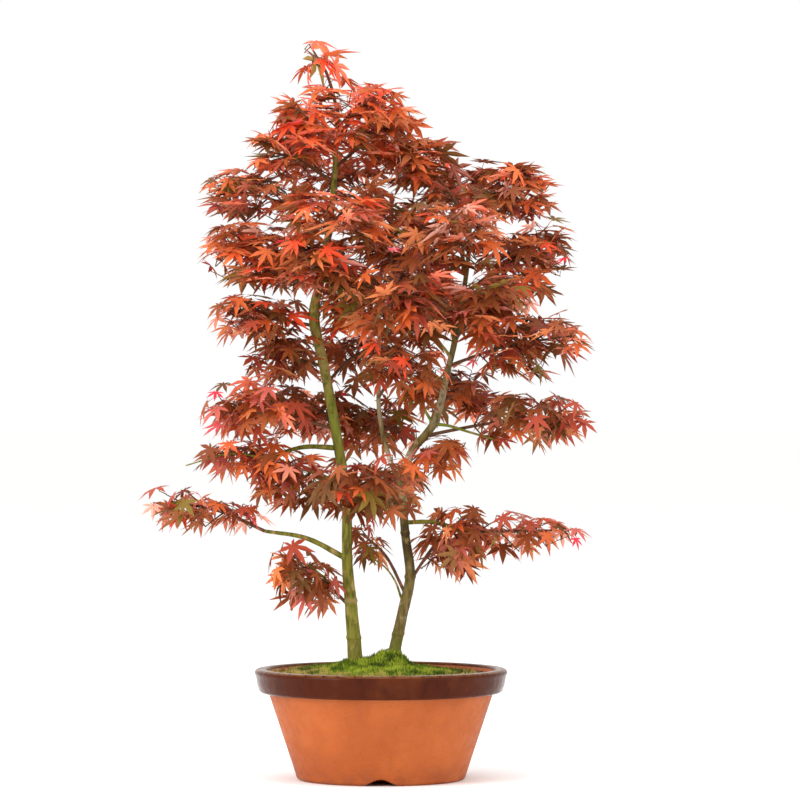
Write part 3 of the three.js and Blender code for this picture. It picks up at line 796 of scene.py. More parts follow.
@dataclass
class Ground:
    """The soil in the pot, and the moss heaped round the feet of the trunks, in millimetres."""

    pot: Pot
    feet: Array  # the trunks' feet, of shape (2, 2)
    heaps: tuple[float, float] = (9, 21)  # how high the moss heaps at each trunk
    heap_radius: float = 34
    radius: float = 98
    centre: tuple[float, float] = (-14, 3)
    edge: float = 1.5  # the moss's thickness at its edge
    swell: float = 9  # how much thicker it is in its middle
    sunk: float = 1.2  # how far its ground lies below the shoots' height
    crumbs: int = 5200
    shoots: int = 24000
    strays: float = 0.14  # share of the shoots that may stand as far out as the wall
    stem_room: float = 9  # round each trunk's middle, where no shoot stands
    shoot_length: tuple[float, float] = (2.8, 7.5)
    shoot_width: tuple[float, float] = (0.4, 0.75)
    shoot_lean: float = 0.34  # how far it leans for each unit of height, mostly
    crumb_size: tuple[float, float] = (0.4, 2.6)

    def moss_rise(self, points: Array) -> Array:
        """The moss's height over the soil at level places.

        It is edge + swell (1 - q^2), with q the distance from the middle over the radius, and for each
        trunk heap * n^2 (3 - 2 n), with n = 1 - distance / heap radius.

        Args:
            points: Level places, of shape (..., 2).

        Returns:
            Heights, of shape (...).
        """
        out = np.linalg.norm(points - np.array(self.centre), axis=-1) / self.radius
        rise = self.edge + self.swell * np.clip(1 - out**2, 0, 1)
        for foot, heap in zip(self.feet, self.heaps):
            near = np.clip(1 - np.linalg.norm(points - foot, axis=-1) / self.heap_radius, 0, 1)
            rise = rise + heap * near**2 * (3 - 2 * near)
        return rise

    def moss_ground(self, points: Array) -> Array:
        """The height over the soil of the moss's lumpy ground.

        It is the moss's rise - sunk + 1.1 n, and never under 0.3, with n noise in three layers from 7 mm.

        Args:
            points: Level places, of shape (n, 2).

        Returns:
            Heights, of shape (n,).
        """
        lumps = 1.1 * layered_noise(self.flat(points), 7, 3, 11)
        return np.maximum(self.moss_rise(points) - self.sunk + lumps, 0.3)

    def flat(self, points: Array) -> Array:
        """Level places with a height of nothing."""
        return np.concatenate([points, np.zeros((len(points), 1))], axis=-1)

    def moss_reach(self, angle: Array) -> Array:
        """The moss's wavy edge: radius * (1 + 0.06 sin(3 a + 1) + 0.04 sin(5 a))."""
        return self.radius * (1 + 0.06 * np.sin(3 * angle + 1) + 0.04 * np.sin(5 * angle))

    def soil(self) -> Surface:
        """The soil, a plug that fills the bowl, with a crumbly top.

        Returns:
            The closed surface in metres. Its top is raised by layered noise that fades at the wall.
        """
        pot = self.pot
        top = SOIL_TOP - pot.gap

        def inside(height: float) -> float:
            """The soil's radius at a height."""
            return pot.outside(height) - pot.wall - 2 * pot.gap

        floor = pot.floor + pot.gap
        corner = floor + pot.floor_round
        low = inside(pot.floor) - pot.floor_round
        side = np.array([[low, floor], [inside(corner), corner], [inside(top), top]])
        over = np.stack([np.linspace(inside(top), 0, 60)[1:], np.full(59, top)], axis=-1)
        surface = turned_body(np.concatenate([[[0, floor]], side, over]), 180)
        vertices = surface.vertices
        lumps = 1.3 * layered_noise(vertices * [1, 1, 0], 9, 3, 5)
        fade = np.clip((inside(top) - np.linalg.norm(vertices[:, :2], axis=-1)) / 6, 0, 1)
        vertices[:, 2] += np.where(vertices[:, 2] > top - 1, lumps * fade, 0)
        vertices *= MM
        return surface

    def cushion(self) -> Surface:
        """The moss's ground: a disc with a wavy edge, as high as moss_ground says.

        Returns:
            The closed surface in metres.
        """
        share = np.linspace(1, 0, 56)
        top = np.stack([share, np.ones(56)], axis=-1)
        surface = turned_body(np.concatenate([[[0, 0], [1, 0]], top]), 150)
        disc = surface.vertices
        angle = np.arctan2(disc[:, 1], disc[:, 0])
        places = np.array(self.centre) + disc[:, :2] * self.moss_reach(angle)[:, None]
        height = np.where(disc[:, 2] > 0.5, self.moss_ground(places), 0)
        surface.vertices = np.concatenate([places, SOIL_TOP + height[:, None]], axis=-1) * MM
        return surface

    def shoot_places(self, count: int, name: str) -> Array:
        """Level places for moss shoots, clear of the trunks: on the moss, and some strayed to the wall.

        Args:
            count: How many places are tried.
            name: The name that the random series belongs to.

        Returns:
            Places, of shape (n, 2).
        """
        random = series_for(name)
        angle = random.uniform(-np.pi, np.pi, count)
        strayed = random.uniform(0, 1, count) < self.strays
        wall = self.pot.outside(SOIL_TOP) - self.pot.wall
        edge = np.where(strayed, wall - 4, 1.02 * self.moss_reach(angle))
        out = np.sqrt(random.uniform(0, 1, count)) * edge
        places = np.array(self.centre) + out[:, None] * level(np.degrees(angle))[:, :2]
        away = np.min(np.linalg.norm(places[:, None] - self.feet[None], axis=-1), axis=-1)
        return places[away > self.stem_room]

    def moss_shoots(self) -> dict[MossTint, Surface]:
        """The moss's shoots: slim three-sided spikes that stand out of the cushion.

        Their tint goes by noise, and it is dry where the distance over the reach, plus 0.35 of the noise, is
        over one.

        Returns:
            The joined spikes of each tint, in metres.
        """
        places = self.shoot_places(self.shoots, "moss_shoots")
        random = series_for("moss_lean")
        count = len(places)
        patch = layered_noise(self.flat(places), 11, 2, 31) + random.normal(0, 0.3, count)
        height = SOIL_TOP + self.moss_ground(places)
        roots = np.concatenate([places, (height - 0.4)[:, None]], axis=-1)
        lean = random.normal(0, self.shoot_lean, (count, 2))
        lean = unit(np.concatenate([lean, np.ones((count, 1))], axis=-1))
        side = unit(np.cross(lean, level(random.uniform(0, 360, count))))
        length = random.uniform(*self.shoot_length, count)[:, None]
        width = random.uniform(*self.shoot_width, count)[:, None]
        axes = np.stack([side * width, np.cross(lean, side) * width, lean * length], axis=1) * MM
        spike = np.array([[1, 0, 0], [-0.5, 0.87, 0], [-0.5, -0.87, 0], [0, 0, 1]])
        faces = [np.array([[0, 1, 3], [1, 2, 3], [2, 0, 3], [2, 1, 0]])]
        tint = np.digitize(patch, [-0.2, 0.3])
        far = np.linalg.norm(places, axis=-1) / self.moss_reach(np.arctan2(places[:, 1], places[:, 0]))
        tint = np.where(far + 0.35 * patch > 1.0, list(MossTint).index(MossTint.DRY), tint)
        return {
            kind: scattered(spike, faces, roots[tint == i] * MM, axes[tint == i])
            for i, kind in enumerate(MossTint)
        }

    def soil_crumbs(self) -> Surface:
        """Crumbs of soil between the moss and the wall: eight-faced lumps, squashed at random.

        Returns:
            The joined crumbs, in metres.
        """
        random = series_for("crumbs")
        angle = random.uniform(-np.pi, np.pi, self.crumbs)
        reach = self.pot.outside(SOIL_TOP) - self.pot.wall - 3
        out = np.sqrt(random.uniform(0.22, 1, self.crumbs)) * reach
        places = out[:, None] * level(np.degrees(angle))
        places[:, 2] = SOIL_TOP + 0.2 + 1.0 * layered_noise(places, 9, 3, 5)
        size = random.gamma(2.2, 0.45, self.crumbs).clip(*self.crumb_size)
        size = np.minimum(size, (reach + 2 - out) * 0.8)
        turn = unit(random.normal(size=(self.crumbs, 3)))
        side = unit(np.cross(turn, UP + 0.01))
        shares = random.uniform(0.6, 1.1, (self.crumbs, 3, 1))
        axes = np.stack([turn, side, np.cross(turn, side)], axis=1) * shares * size[:, None, None] * MM
        lump = np.array([[1, 0, 0], [0, 1, 0], [-1, 0, 0], [0, -1, 0], [0, 0, 1], [0, 0, -1.0]])
        upper = [[0, 1, 4], [1, 2, 4], [2, 3, 4], [3, 0, 4]]
        lower = [[1, 0, 5], [2, 1, 5], [3, 2, 5], [0, 3, 5]]
        return scattered(lump, [np.array(upper + lower)], places * MM, axes)

    def build(self) -> None:
        """Builds the soil, its crumbs, the moss's ground and its shoots, and dresses them."""
        earth = Earth().material()
        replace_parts(self.soil().piece("potting_soil", [earth]), "soil")
        self.soil_crumbs().piece("soil_crumbs", [earth], smooth=False)
        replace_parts(self.cushion().piece("moss_ground", [MossCarpet().material()]), "moss")
        for tint, surface in self.moss_shoots().items():
            label = f"moss_shoots_{tint.name.lower()}"
            finish = Plain(f"{label}_finish", tint.value, 0.75, 0.2)
            surface.piece(label, [finish.material()])


# ------------------------------------------------------------------------------------------------------
# Trunks, stems and boughs


TRUNK_LEFT = [
    [-29, -3, 124, 12.5],
    [-30, -3, 134, 9.6],
    [-31, -3, 150, 8.6],
    [-36, -4, 211, 7.2],
    [-40, -3, 256, 6.4],
    [-41, 0, 325, 6.0],
    [-51, 3, 398, 5.9],
    [-66, 2, 481, 5.8],
    [-79.5, -1, 550, 6.3],
    [-71, -3, 595, 4.7],
    [-58, -2, 680, 3.7],
    [-51, 2, 790, 2.3],
]
TRUNK_RIGHT = [
    [11, 6, 124, 14],
    [14, 6, 136, 10.5],
    [17, 6, 156, 7.4],
    [25, 5, 194, 6.3],
    [34.5, 3, 240, 6.1],
    [29, 0, 290, 5.1],
    [26, 2, 344, 4.9],
    [35, 5, 385, 4.8],
    [64, 6, 424, 4.8],
    [78, 4, 479, 3.7],
    [88, 0, 522, 3.4],
    [103, -3, 615, 2.6],
    [107, 0, 690, 2.1],
]
STEM_MIDDLE = [
    [26, 2, 344, 3.1],
    [13, 10, 372, 2.9],
    [0, 15, 420, 2.6],
    [-3, 13, 460, 2.5],
    [6, 6, 520, 2.2],
    [13, 0, 588, 2.0],
]
# Thin side branches that stand free of the foliage, as stations in millimetres.
SIDE_BRANCHES = {
    "right_fork": [[84, 2, 498, 2.4], [77, 0, 508, 1.8], [67, -4, 522, 1.5], [58, -10, 548, 1.1]],
    "right_spur": [[62, 6, 421, 2.2], [54, 4, 434, 1.7], [44, 0, 452, 1.3], [36, -6, 478, 1.0]],
    "right_reach_low": [[62, 6, 421, 2.2], [80, 2, 419, 1.7], [106, -4, 411, 1.4], [138, -8, 402, 1.0]],
    "left_thin": [[-45, 1, 352, 1.8], [-110, -6, 372, 1.3], [-176, -10, 386, 1.1], [-231, -12, 372, 0.8]],
    "middle_thin": [[26, 4, 208, 1.6], [16, -2, 236, 1.2], [2, -8, 254, 1.0], [-19, -12, 266, 0.8]],
    "left_low": [[-38, -4, 226, 1.9], [-58, -6, 232, 1.6], [-84, -4, 252, 1.2], [-112, -2, 262, 0.9]],
}
# Heights of the rings on the trunks, and how far they stand out, in millimetres.
LEFT_SCARS = ((168, 0.9), (212, 1.1), (262, 0.7), (342, 1.0), (372, 0.6), (452, 0.8), (492, 1.0), (551, 1.3))
RIGHT_SCARS = ((172, 0.8), (240, 1.2), (292, 0.9), (345, 0.9), (424, 0.9), (480, 0.8), (523, 0.7))
OLIVE_BARK = Bark(
    "left_trunk_bark",
    (126, 122, 38),
    (82, 78, 16),
    (166, 144, 78),
    (
        (212, 6, (160, 136, 78), 0.9),
        (342, 7, (168, 138, 80), 0.9),
        (500, 60, (166, 146, 84), 0.75),
        (422, 40, (118, 128, 40), 0.85),
        (150, 30, (112, 106, 40), 0.6),
    ),
)
GREY_BARK = Bark(
    "right_trunk_bark",
    (116, 98, 48),
    (80, 68, 28),
    (152, 134, 92),
    (
        (375, 20, (206, 190, 164), 1.0),
        (284, 46, (64, 50, 18), 1.0),
        (450, 50, (152, 136, 108), 0.8),
        (150, 32, (100, 106, 28), 0.9),
    ),
)
SHOOT_BARK = Bark("shoot_bark_finish", (112, 70, 46), (82, 62, 34), (140, 84, 62))
STALK_FINISH = Plain("leaf_stalk_finish", (168, 74, 62), 0.5, 0.5)


class Limb:
    """A tapering limb along a smooth curve through stations of centre and radius.

    The curve is the centripetal Catmull-Rom spline: between stations p1 and p2 it is the cubic with the end
    slopes m = (p1 - p0) / d0 - (p2 - p0) / (d0 + d1) + (p2 - p1) / d1, times d1, with d the square root of
    the distance between stations.
    """

    def __init__(self, name: str, stations: Array | list[list[float]]) -> None:
        """Scales the stations from millimetres to metres.

        Args:
            name: The name of the limb's piece.
            stations: Rows of a centre and a radius, in millimetres.
        """
        self.name = name
        rows = np.asarray(stations, dtype=float) * MM
        self.points, self.radii = rows[:, :3], rows[:, 3]

    def centre(self, share: float | Array) -> Array:
        """The curve's point at a share of the stations.

        Args:
            share: Shares from 0 to 1.

        Returns:
            Points, of shape (..., 3).
        """
        points = np.concatenate(
            [[2 * self.points[0] - self.points[1]], self.points, [2 * self.points[-1] - self.points[-2]]]
        )
        place = np.clip(np.asarray(share, dtype=float), 0, 1) * (len(self.points) - 1)
        span = np.minimum(place.astype(int), len(self.points) - 2)
        t = (place - span)[..., None]
        p0, p1, p2, p3 = (points[span + i] for i in range(4))
        d0, d1, d2 = (
            np.sqrt(np.linalg.norm(b - a, axis=-1, keepdims=True)) for a, b in ((p0, p1), (p1, p2), (p2, p3))
        )
        m1 = ((p1 - p0) / d0 - (p2 - p0) / (d0 + d1) + (p2 - p1) / d1) * d1
        m2 = ((p2 - p1) / d1 - (p3 - p1) / (d1 + d2) + (p3 - p2) / d2) * d1
        cube = 2 * p1 - 2 * p2 + m1 + m2
        square = -3 * p1 + 3 * p2 - 2 * m1 - m2
        return cube * t**3 + square * t**2 + m1 * t + p1

    def radius(self, share: float | Array) -> Array:
        """The radius at a share of the stations, straight from one to the next."""
        return np.interp(share, np.linspace(0, 1, len(self.radii)), self.radii)

    def heading(self, share: float | Array) -> Array:
        """The curve's unit direction at a share of the stations."""
        share = np.asarray(share, dtype=float)
        return unit(self.centre(share + 0.004) - self.centre(share - 0.004))

    def length(self) -> float:
        """The curve's length."""
        return float(np.sum(np.linalg.norm(np.diff(self.centre(np.linspace(0, 1, 60)), axis=0), axis=-1)))

    def at_height(self, height: float) -> tuple[Array, float]:
        """The centreline at a height.

        Args:
            height: The height in metres.

        Returns:
            The first point that is as high, or the limb's tip, and the radius there.
        """
        shares = np.linspace(0, 1, 400)
        points = self.centre(shares)
        reached = np.nonzero(points[:, 2] >= height)[0]
        at = reached[0] if len(reached) else len(shares) - 1
        return points[at], float(self.radius(shares[at]))


@dataclass
class Wood:
    """A limb's relief: fine ribs along it, rings where old twigs broke off, and a ribbed foot."""

    limb: Limb
    rings: int
    sides: int
    ribs: float = 0.05  # depth of the ribs as a share of the radius
    scars: tuple[tuple[float, float], ...] = ()  # heights and how proud they stand, in mm
    foot: float = 0.0  # how much the foot's ribs stand out, as a share of the radius
    foot_fade: float = 0.012  # m, the height over which they fade to a third
    scar_half: float = 0.0022  # m, half the height of a scar's ring

    def surface(self) -> Surface:
        """The limb's skin.

        Its radius is R (1 + ribs n1 + foot n2 e^(-h / fade)) + the sum over the scars of
        rise n3 e^(-((z - z0) / half)^2), with n1 noise stretched along the limb, n2 = sin(5 a + 2) round
        it, h the height over the soil and n3 noise from 0.5 to 1.5.

        Returns:
            The closed surface, in metres.
        """
        share = np.linspace(0, 1, self.rings)
        centre = self.limb.centre(share)[None]
        radius = self.limb.radius(share)[None]
        surface = tubes(centre, radius, self.sides)
        grid = surface.vertices.reshape(self.rings, self.sides, 3)
        spoke = grid - centre[0][:, None, :]
        rib = layered_noise(grid * [1, 1, 0.2], 0.006, 3, 3) + 0.5 * layered_noise(grid, 0.012, 2, 9)
        angle = np.arctan2(spoke[..., 1], spoke[..., 0])
        above = np.clip(grid[..., 2] - SOIL_TOP * MM, 0, None)
        foot = self.foot * np.exp(-above / self.foot_fade) * np.sin(5 * angle + 2)
        grow = 1 + self.ribs * rib + foot
        for height, rise in self.scars:
            ring = np.exp(-(((grid[..., 2] - height * MM) / self.scar_half) ** 2))
            ragged = 1 + 0.5 * lattice_noise(grid, 0.005, 17)
            grow = grow + ring * ragged * rise * MM / radius[0][:, None]
        surface.vertices = (centre[0][:, None, :] + spoke * grow[..., None]).reshape(-1, 3)
        return surface

    def build(self, finish: bpy.types.Material, *nodes: str) -> None:
        """Builds the limb and lets it stand for its nodes.

        Args:
            finish: The bark.
            nodes: The nodes that the limb replaces.
        """
        piece = self.surface().piece(self.limb.name, [finish])
        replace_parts(piece, *nodes) if nodes else piece


# ------------------------------------------------------------------------------------------------------
# Leaves


class Tint(Enum):
    """The autumn tints, each with the colour of a leaf's face and of its paler back."""

    ORANGE = ((234, 108, 58), (246, 150, 114))
    VERMILION = ((238, 86, 50), (246, 130, 98))
    AMBER = ((210, 114, 58), (232, 148, 104))
    RUST = ((198, 92, 42), (216, 126, 78))
    BRICK = ((166, 68, 46), (202, 114, 88))
    RUSSET = ((152, 76, 36), (184, 108, 64))
    BROWN = ((126, 62, 28), (156, 92, 54))
    UMBER = ((106, 66, 28), (138, 94, 52))
    ROSE = ((192, 92, 78), (228, 152, 132))
    SALMON = ((214, 128, 102), (240, 172, 150))
    OLIVE = ((120, 96, 32), (150, 122, 58))
    CRIMSON = ((228, 42, 62), (242, 106, 112))


# Each tint's weight at the top of the crown, low down on its outside, and deep within it. The browner tints
# deep within are partly the leaves' own colour and partly painted shade.
TINT_SHARES = {
    Tint.ORANGE: (0.38, 0.00, 0.03),
    Tint.VERMILION: (0.18, 0.01, 0.02),
    Tint.AMBER: (0.11, 0.01, 0.01),
    Tint.RUST: (0.18, 0.09, 0.19),
    Tint.BRICK: (0.03, 0.26, 0.13),
    Tint.RUSSET: (0.05, 0.15, 0.28),
    Tint.BROWN: (0.02, 0.12, 0.20),
    Tint.UMBER: (0.00, 0.03, 0.09),
    Tint.ROSE: (0.02, 0.21, 0.01),
    Tint.SALMON: (0.03, 0.10, 0.00),
    Tint.OLIVE: (0.00, 0.01, 0.04),
    Tint.CRIMSON: (0.00, 0.01, 0.00),
}


@dataclass
class LeafShape:
    """One leaf with seven long lobes, of length one, lying in the XY plane with its stalk at the origin.

    Each lobe is (bearing in degrees, length, half width). Its top and its underside share the outline.
    """

    lobes: tuple[tuple[float, float, float], ...] = (
        (-132, 0.30, 0.052),
        (-88, 0.64, 0.092),
        (-44, 0.90, 0.112),
        (0, 1.0, 0.120),
        (44, 0.90, 0.112),
        (88, 0.64, 0.092),
        (132, 0.30, 0.052),
    )
    widest: float = 0.52  # share of a lobe's length at which it is widest
    notch: float = 0.27  # how far the cuts stay from the stalk, as a share of the lobes' mean length
    fold: float = 0.035  # how far the lobes' edges stand above their midribs
    thick: float = 0.012

    def outline(self) -> Array:
        """The outline: for each lobe its cut, right flank, tip and left flank, then the last cut.

        A tip is length (cos b, sin b) for the lobe's bearing b, and its flanks stand half a width to either
        side of widest times that.

        Returns:
            Points, of shape (4 lobes + 1, 3).
        """
        bearing, length, half = np.array(self.lobes).T
        mean = (length[:-1] + length[1:]) / 2
        between = (bearing[:-1] + bearing[1:]) / 2
        cuts = np.concatenate(
            [
                [0.05 * level(-168.0)],
                (self.notch * mean)[:, None] * level(between),
                [0.05 * level(168.0)],
            ]
        )
        along, across = level(bearing), level(bearing + 90)
        flank = (self.widest * length)[:, None] * along
        right, left = flank - half[:, None] * across, flank + half[:, None] * across
        tip = length[:, None] * along
        lobes = np.stack([cuts[:-1], right, tip, left], axis=1).reshape(-1, 3)
        return np.concatenate([lobes, cuts[-1:]])

    def ribs(self) -> Array:
        """The stalk's end and the middle of each lobe's rib."""
        bearing, length, _ = np.array(self.lobes).T
        return np.concatenate([np.zeros((1, 3)), (self.widest * length)[:, None] * level(bearing)])

    def vertices(self) -> Array:
        """All vertices: the outline raised by the fold, the ribs on top and the ribs underneath.

        Returns:
            Points, in that order, with z = fold, thick and -thick, less towards the stalk on the outline.
        """
        edge, ribs = self.outline(), self.ribs()
        reach = np.linalg.norm(edge, axis=-1)
        edge[:, 2] = self.fold * np.clip(reach * 2, 0, 1)
        top, under = ribs.copy(), ribs.copy()
        top[:, 2], under[:, 2] = self.thick, -self.thick
        return np.concatenate([edge, top, under])

    def faces(self) -> list[Whole]:
        """The faces: for each lobe two quads by the stalk and two triangles to the tip, on both sides.

        Returns:
            The quads and triangles on top, then those underneath.
        """
        count = len(self.lobes)
        edges = 4 * count + 1
        lobe = np.arange(count)
        cut, right, tip, left, after = (4 * lobe + i for i in range(5))
        stalk, rib = np.full(count, edges), edges + 1 + lobe
        quads = np.concatenate(
            [np.stack([stalk, cut, right, rib], -1), np.stack([stalk, rib, left, after], -1)]
        )
        tris = np.concatenate([np.stack([rib, right, tip], -1), np.stack([rib, tip, left], -1)])
        lower = count + 1
        under_quads = np.where(quads >= edges, quads + lower, quads)[:, ::-1]
        under_tris = np.where(tris >= edges, tris + lower, tris)[:, ::-1]
        return [quads, tris, under_quads, under_tris]


@dataclass
class Leaves:
    """Leaves in the making, as whole arrays over all of them."""

    roots: Array  # where the stalks leave their twigs
    headings: Array  # level directions in which they grow
    sizes: Array  # length of the middle lobe
    stalks: Array  # length of the stalks
    droops: Array  # how steeply the blades hang, in radians
    rolls: Array  # how far the blades tilt about their middle lobe, in radians
    cups: Array  # how far the lobes curl down, as a share of the size
    tints: Whole

    def taken(self, chosen: NDArray[np.bool_] | Whole) -> "Leaves":
        """Only some of the leaves."""
        return Leaves(*(getattr(self, key)[chosen] for key in self.__dataclass_fields__))

    def bases(self) -> Array:
        """Where the stalks meet the blades: root + stalk (heading cos e + up sin e), e = 0.5 - 0.9 droop."""
        rise = 0.5 - 0.9 * self.droops[:, None]
        return self.roots + self.stalks[:, None] * (self.headings * np.cos(rise) + UP * np.sin(rise))

    def axes(self) -> Array:
        """Each blade's axes: forward, across and normal.

        Forward is heading cos d - up sin d for the droop d, across is up x forward turned by the roll
        about forward, and the normal is forward x across.

        Returns:
            Unit axes, of shape (n, 3, 3).
        """
        drop = self.droops[:, None]
        forward = self.headings * np.cos(drop) - UP * np.sin(drop)
        across = turned(unit(np.cross(UP, forward)), forward, self.rolls)
        return np.stack([forward, across, np.cross(forward, across)], axis=1)

    def middles(self) -> Array:
        """The middles of the blades."""
        return self.bases() + 0.42 * self.sizes[:, None] * self.axes()[:, 0]

    def tips(self) -> Array:
        """The tips of the middle lobe and its two neighbours: base + size (a forward + b across).

        Returns:
            Points, of shape (3, n, 3).
        """
        bases, axes, size = self.bases(), self.axes(), self.sizes[:, None]
        sides = [(1.0, 0.0), (0.65, 0.62), (0.65, -0.62)]
        return np.stack([bases + size * (a * axes[:, 0] + b * axes[:, 1]) for a, b in sides])

    def blades(self, shape: LeafShape) -> Surface:
        """The blades as one surface, whose faces know whether they are a face or a back.

        A vertex's curl is z - cup r^2, with r its distance from the stalk.

        Args:
            shape: The leaf's shape.

        Returns:
            The joined blades, with finish 0 on top and 1 underneath.
        """
        flat = shape.vertices()
        reach = np.sum(flat[:, :2] ** 2, axis=-1)
        curled = np.repeat(flat[None], len(self.roots), axis=0)
        curled[..., 2] -= self.cups[:, None] * reach
        surface = scattered(curled, shape.faces(), self.bases(), self.axes() * self.sizes[:, None, None])
        surface.finish_of_face = [np.full(len(part), i // 2) for i, part in enumerate(surface.faces)]
        return surface

    def stalk_tubes(self) -> Surface:
        """The stalks: thin bowed three-sided tubes from the twigs to the blades.

        Returns:
            The joined tubes, each through its root, a raised middle and its end.
        """
        roots, bases = self.roots, self.bases()
        middle = (roots + bases) / 2 + 0.1 * self.stalks[:, None] * UP
        ends = bases + 0.02 * self.sizes[:, None] * self.axes()[:, 0]
        centres = np.stack([roots, middle, ends], axis=1)
        radii = np.repeat([[0.5, 0.42, 0.45]], len(roots), axis=0) * MM
        return tubes(centres, radii, 3)


# ------------------------------------------------------------------------------------------------------
# Masses of foliage


# [limb, bearing, reach, height, half depth, half width, half height, fork, leaves], in degrees and mm.
MASSES = {
    "top": ["trunk_left", 180, 58, 852, 52, 58, 60, 790, 5],
    "top_centre": ["trunk_left", 180, 72, 776, 66, 84, 50, 744, 8],
    "top_front": ["trunk_left", 232, 48, 792, 52, 62, 48, 752, 5],
    "top_right": ["trunk_left", 180, 2, 764, 64, 76, 50, 724, 8],
    "left_shoulder": ["trunk_left", 181, 114, 740, 58, 66, 38, 706, 6],
    "left_upper": ["trunk_left", 179, 147, 693, 80, 80, 42, 653, 8],
    "left_high": ["trunk_left", 183, 146, 622, 76, 85, 47, 586, 9],
    "left_middle": ["trunk_left", 178, 140, 543, 72, 67, 38, 536, 8],
    "left_inner": ["trunk_left", 176, 108, 496, 62, 64, 42, 488, 6],
    "left_lower": ["trunk_left", 182, 142, 432, 78, 74, 46, 414, 9],
    "left_wisp": ["trunk_left", 176, 172, 382, 44, 40, 26, 392, 3],
    "left_skirt": ["trunk_left", 184, 100, 362, 68, 66, 56, 314, 7],
    "left_reach": ["trunk_left", 180, 194, 322, 112, 48, 36, 260, 8],
    "left_foot": ["trunk_left", 184, 88, 246, 54, 53, 60, 202, 7],
    "right_shoulder": ["trunk_right", 0, 132, 690, 84, 80, 55, 690, 8],
    "right_top": ["trunk_right", 0, 58, 730, 66, 72, 48, 656, 7],
    "right_high": ["trunk_right", 2, 167, 616, 76, 80, 64, 574, 9],
    "right_middle": ["trunk_right", 358, 174, 516, 88, 78, 50, 490, 8],
    "right_lower": ["trunk_right", 1, 174, 422, 82, 74, 46, 406, 8],
    "right_inner": ["trunk_right", 354, 67, 386, 47, 57, 42, 366, 5],
    "right_foot": ["trunk_right", 2, 80, 296, 58, 57, 66, 234, 7],
    "right_reach": ["trunk_right", 359, 166, 290, 76, 46, 33, 304, 5],
    "front_high_left": ["trunk_left", 247, 124, 660, 65, 87, 62, 622, 8],
    "front_high_right": ["trunk_right", 307, 134, 642, 66, 72, 64, 602, 8],
    "front_left": ["trunk_left", 236, 120, 604, 56, 60, 48, 570, 4],
    "front_upper": ["stem_middle", 282, 102, 564, 65, 86, 60, 532, 8],
    "front_right": ["trunk_right", 327, 152, 560, 56, 60, 58, 520, 6],
    "front_middle": ["stem_middle", 292, 76, 488, 54, 62, 60, 452, 6],
    "front_low": ["trunk_left", 257, 84, 353, 50, 80, 60, 300, 7],
    "middle_upper": ["stem_middle", 190, 40, 566, 44, 60, 50, 528, 4],
    "middle_right": ["trunk_right", 20, 56, 554, 50, 56, 58, 528, 5],
    "middle_low": ["trunk_right", 180, 4, 284, 40, 42, 42, 216, 4],
    "core": ["stem_middle", 60, 26, 654, 60, 64, 66, 588, 3],
    "back_high_left": ["trunk_left", 117, 112, 716, 68, 84, 60, 676, 6],
    "back_high_right": ["trunk_right", 49, 124, 700, 66, 76, 58, 648, 5],
    "back_left": ["trunk_left", 132, 132, 618, 60, 64, 54, 580, 4],
    "back_upper": ["stem_middle", 76, 114, 606, 66, 84, 58, 566, 6],
    "back_right": ["trunk_right", 40, 150, 560, 60, 64, 57, 526, 4],
    "back_middle": ["trunk_left", 103, 104, 506, 62, 80, 57, 470, 6],
    "back_lower_left": ["trunk_left", 132, 112, 438, 58, 64, 52, 404, 5],
    "back_lower": ["stem_middle", 92, 100, 424, 58, 68, 54, 396, 5],
    "back_lower_right": ["trunk_right", 46, 124, 458, 56, 60, 52, 430, 4],
    "back_low": ["trunk_left", 97, 84, 344, 50, 78, 52, 300, 5],
}


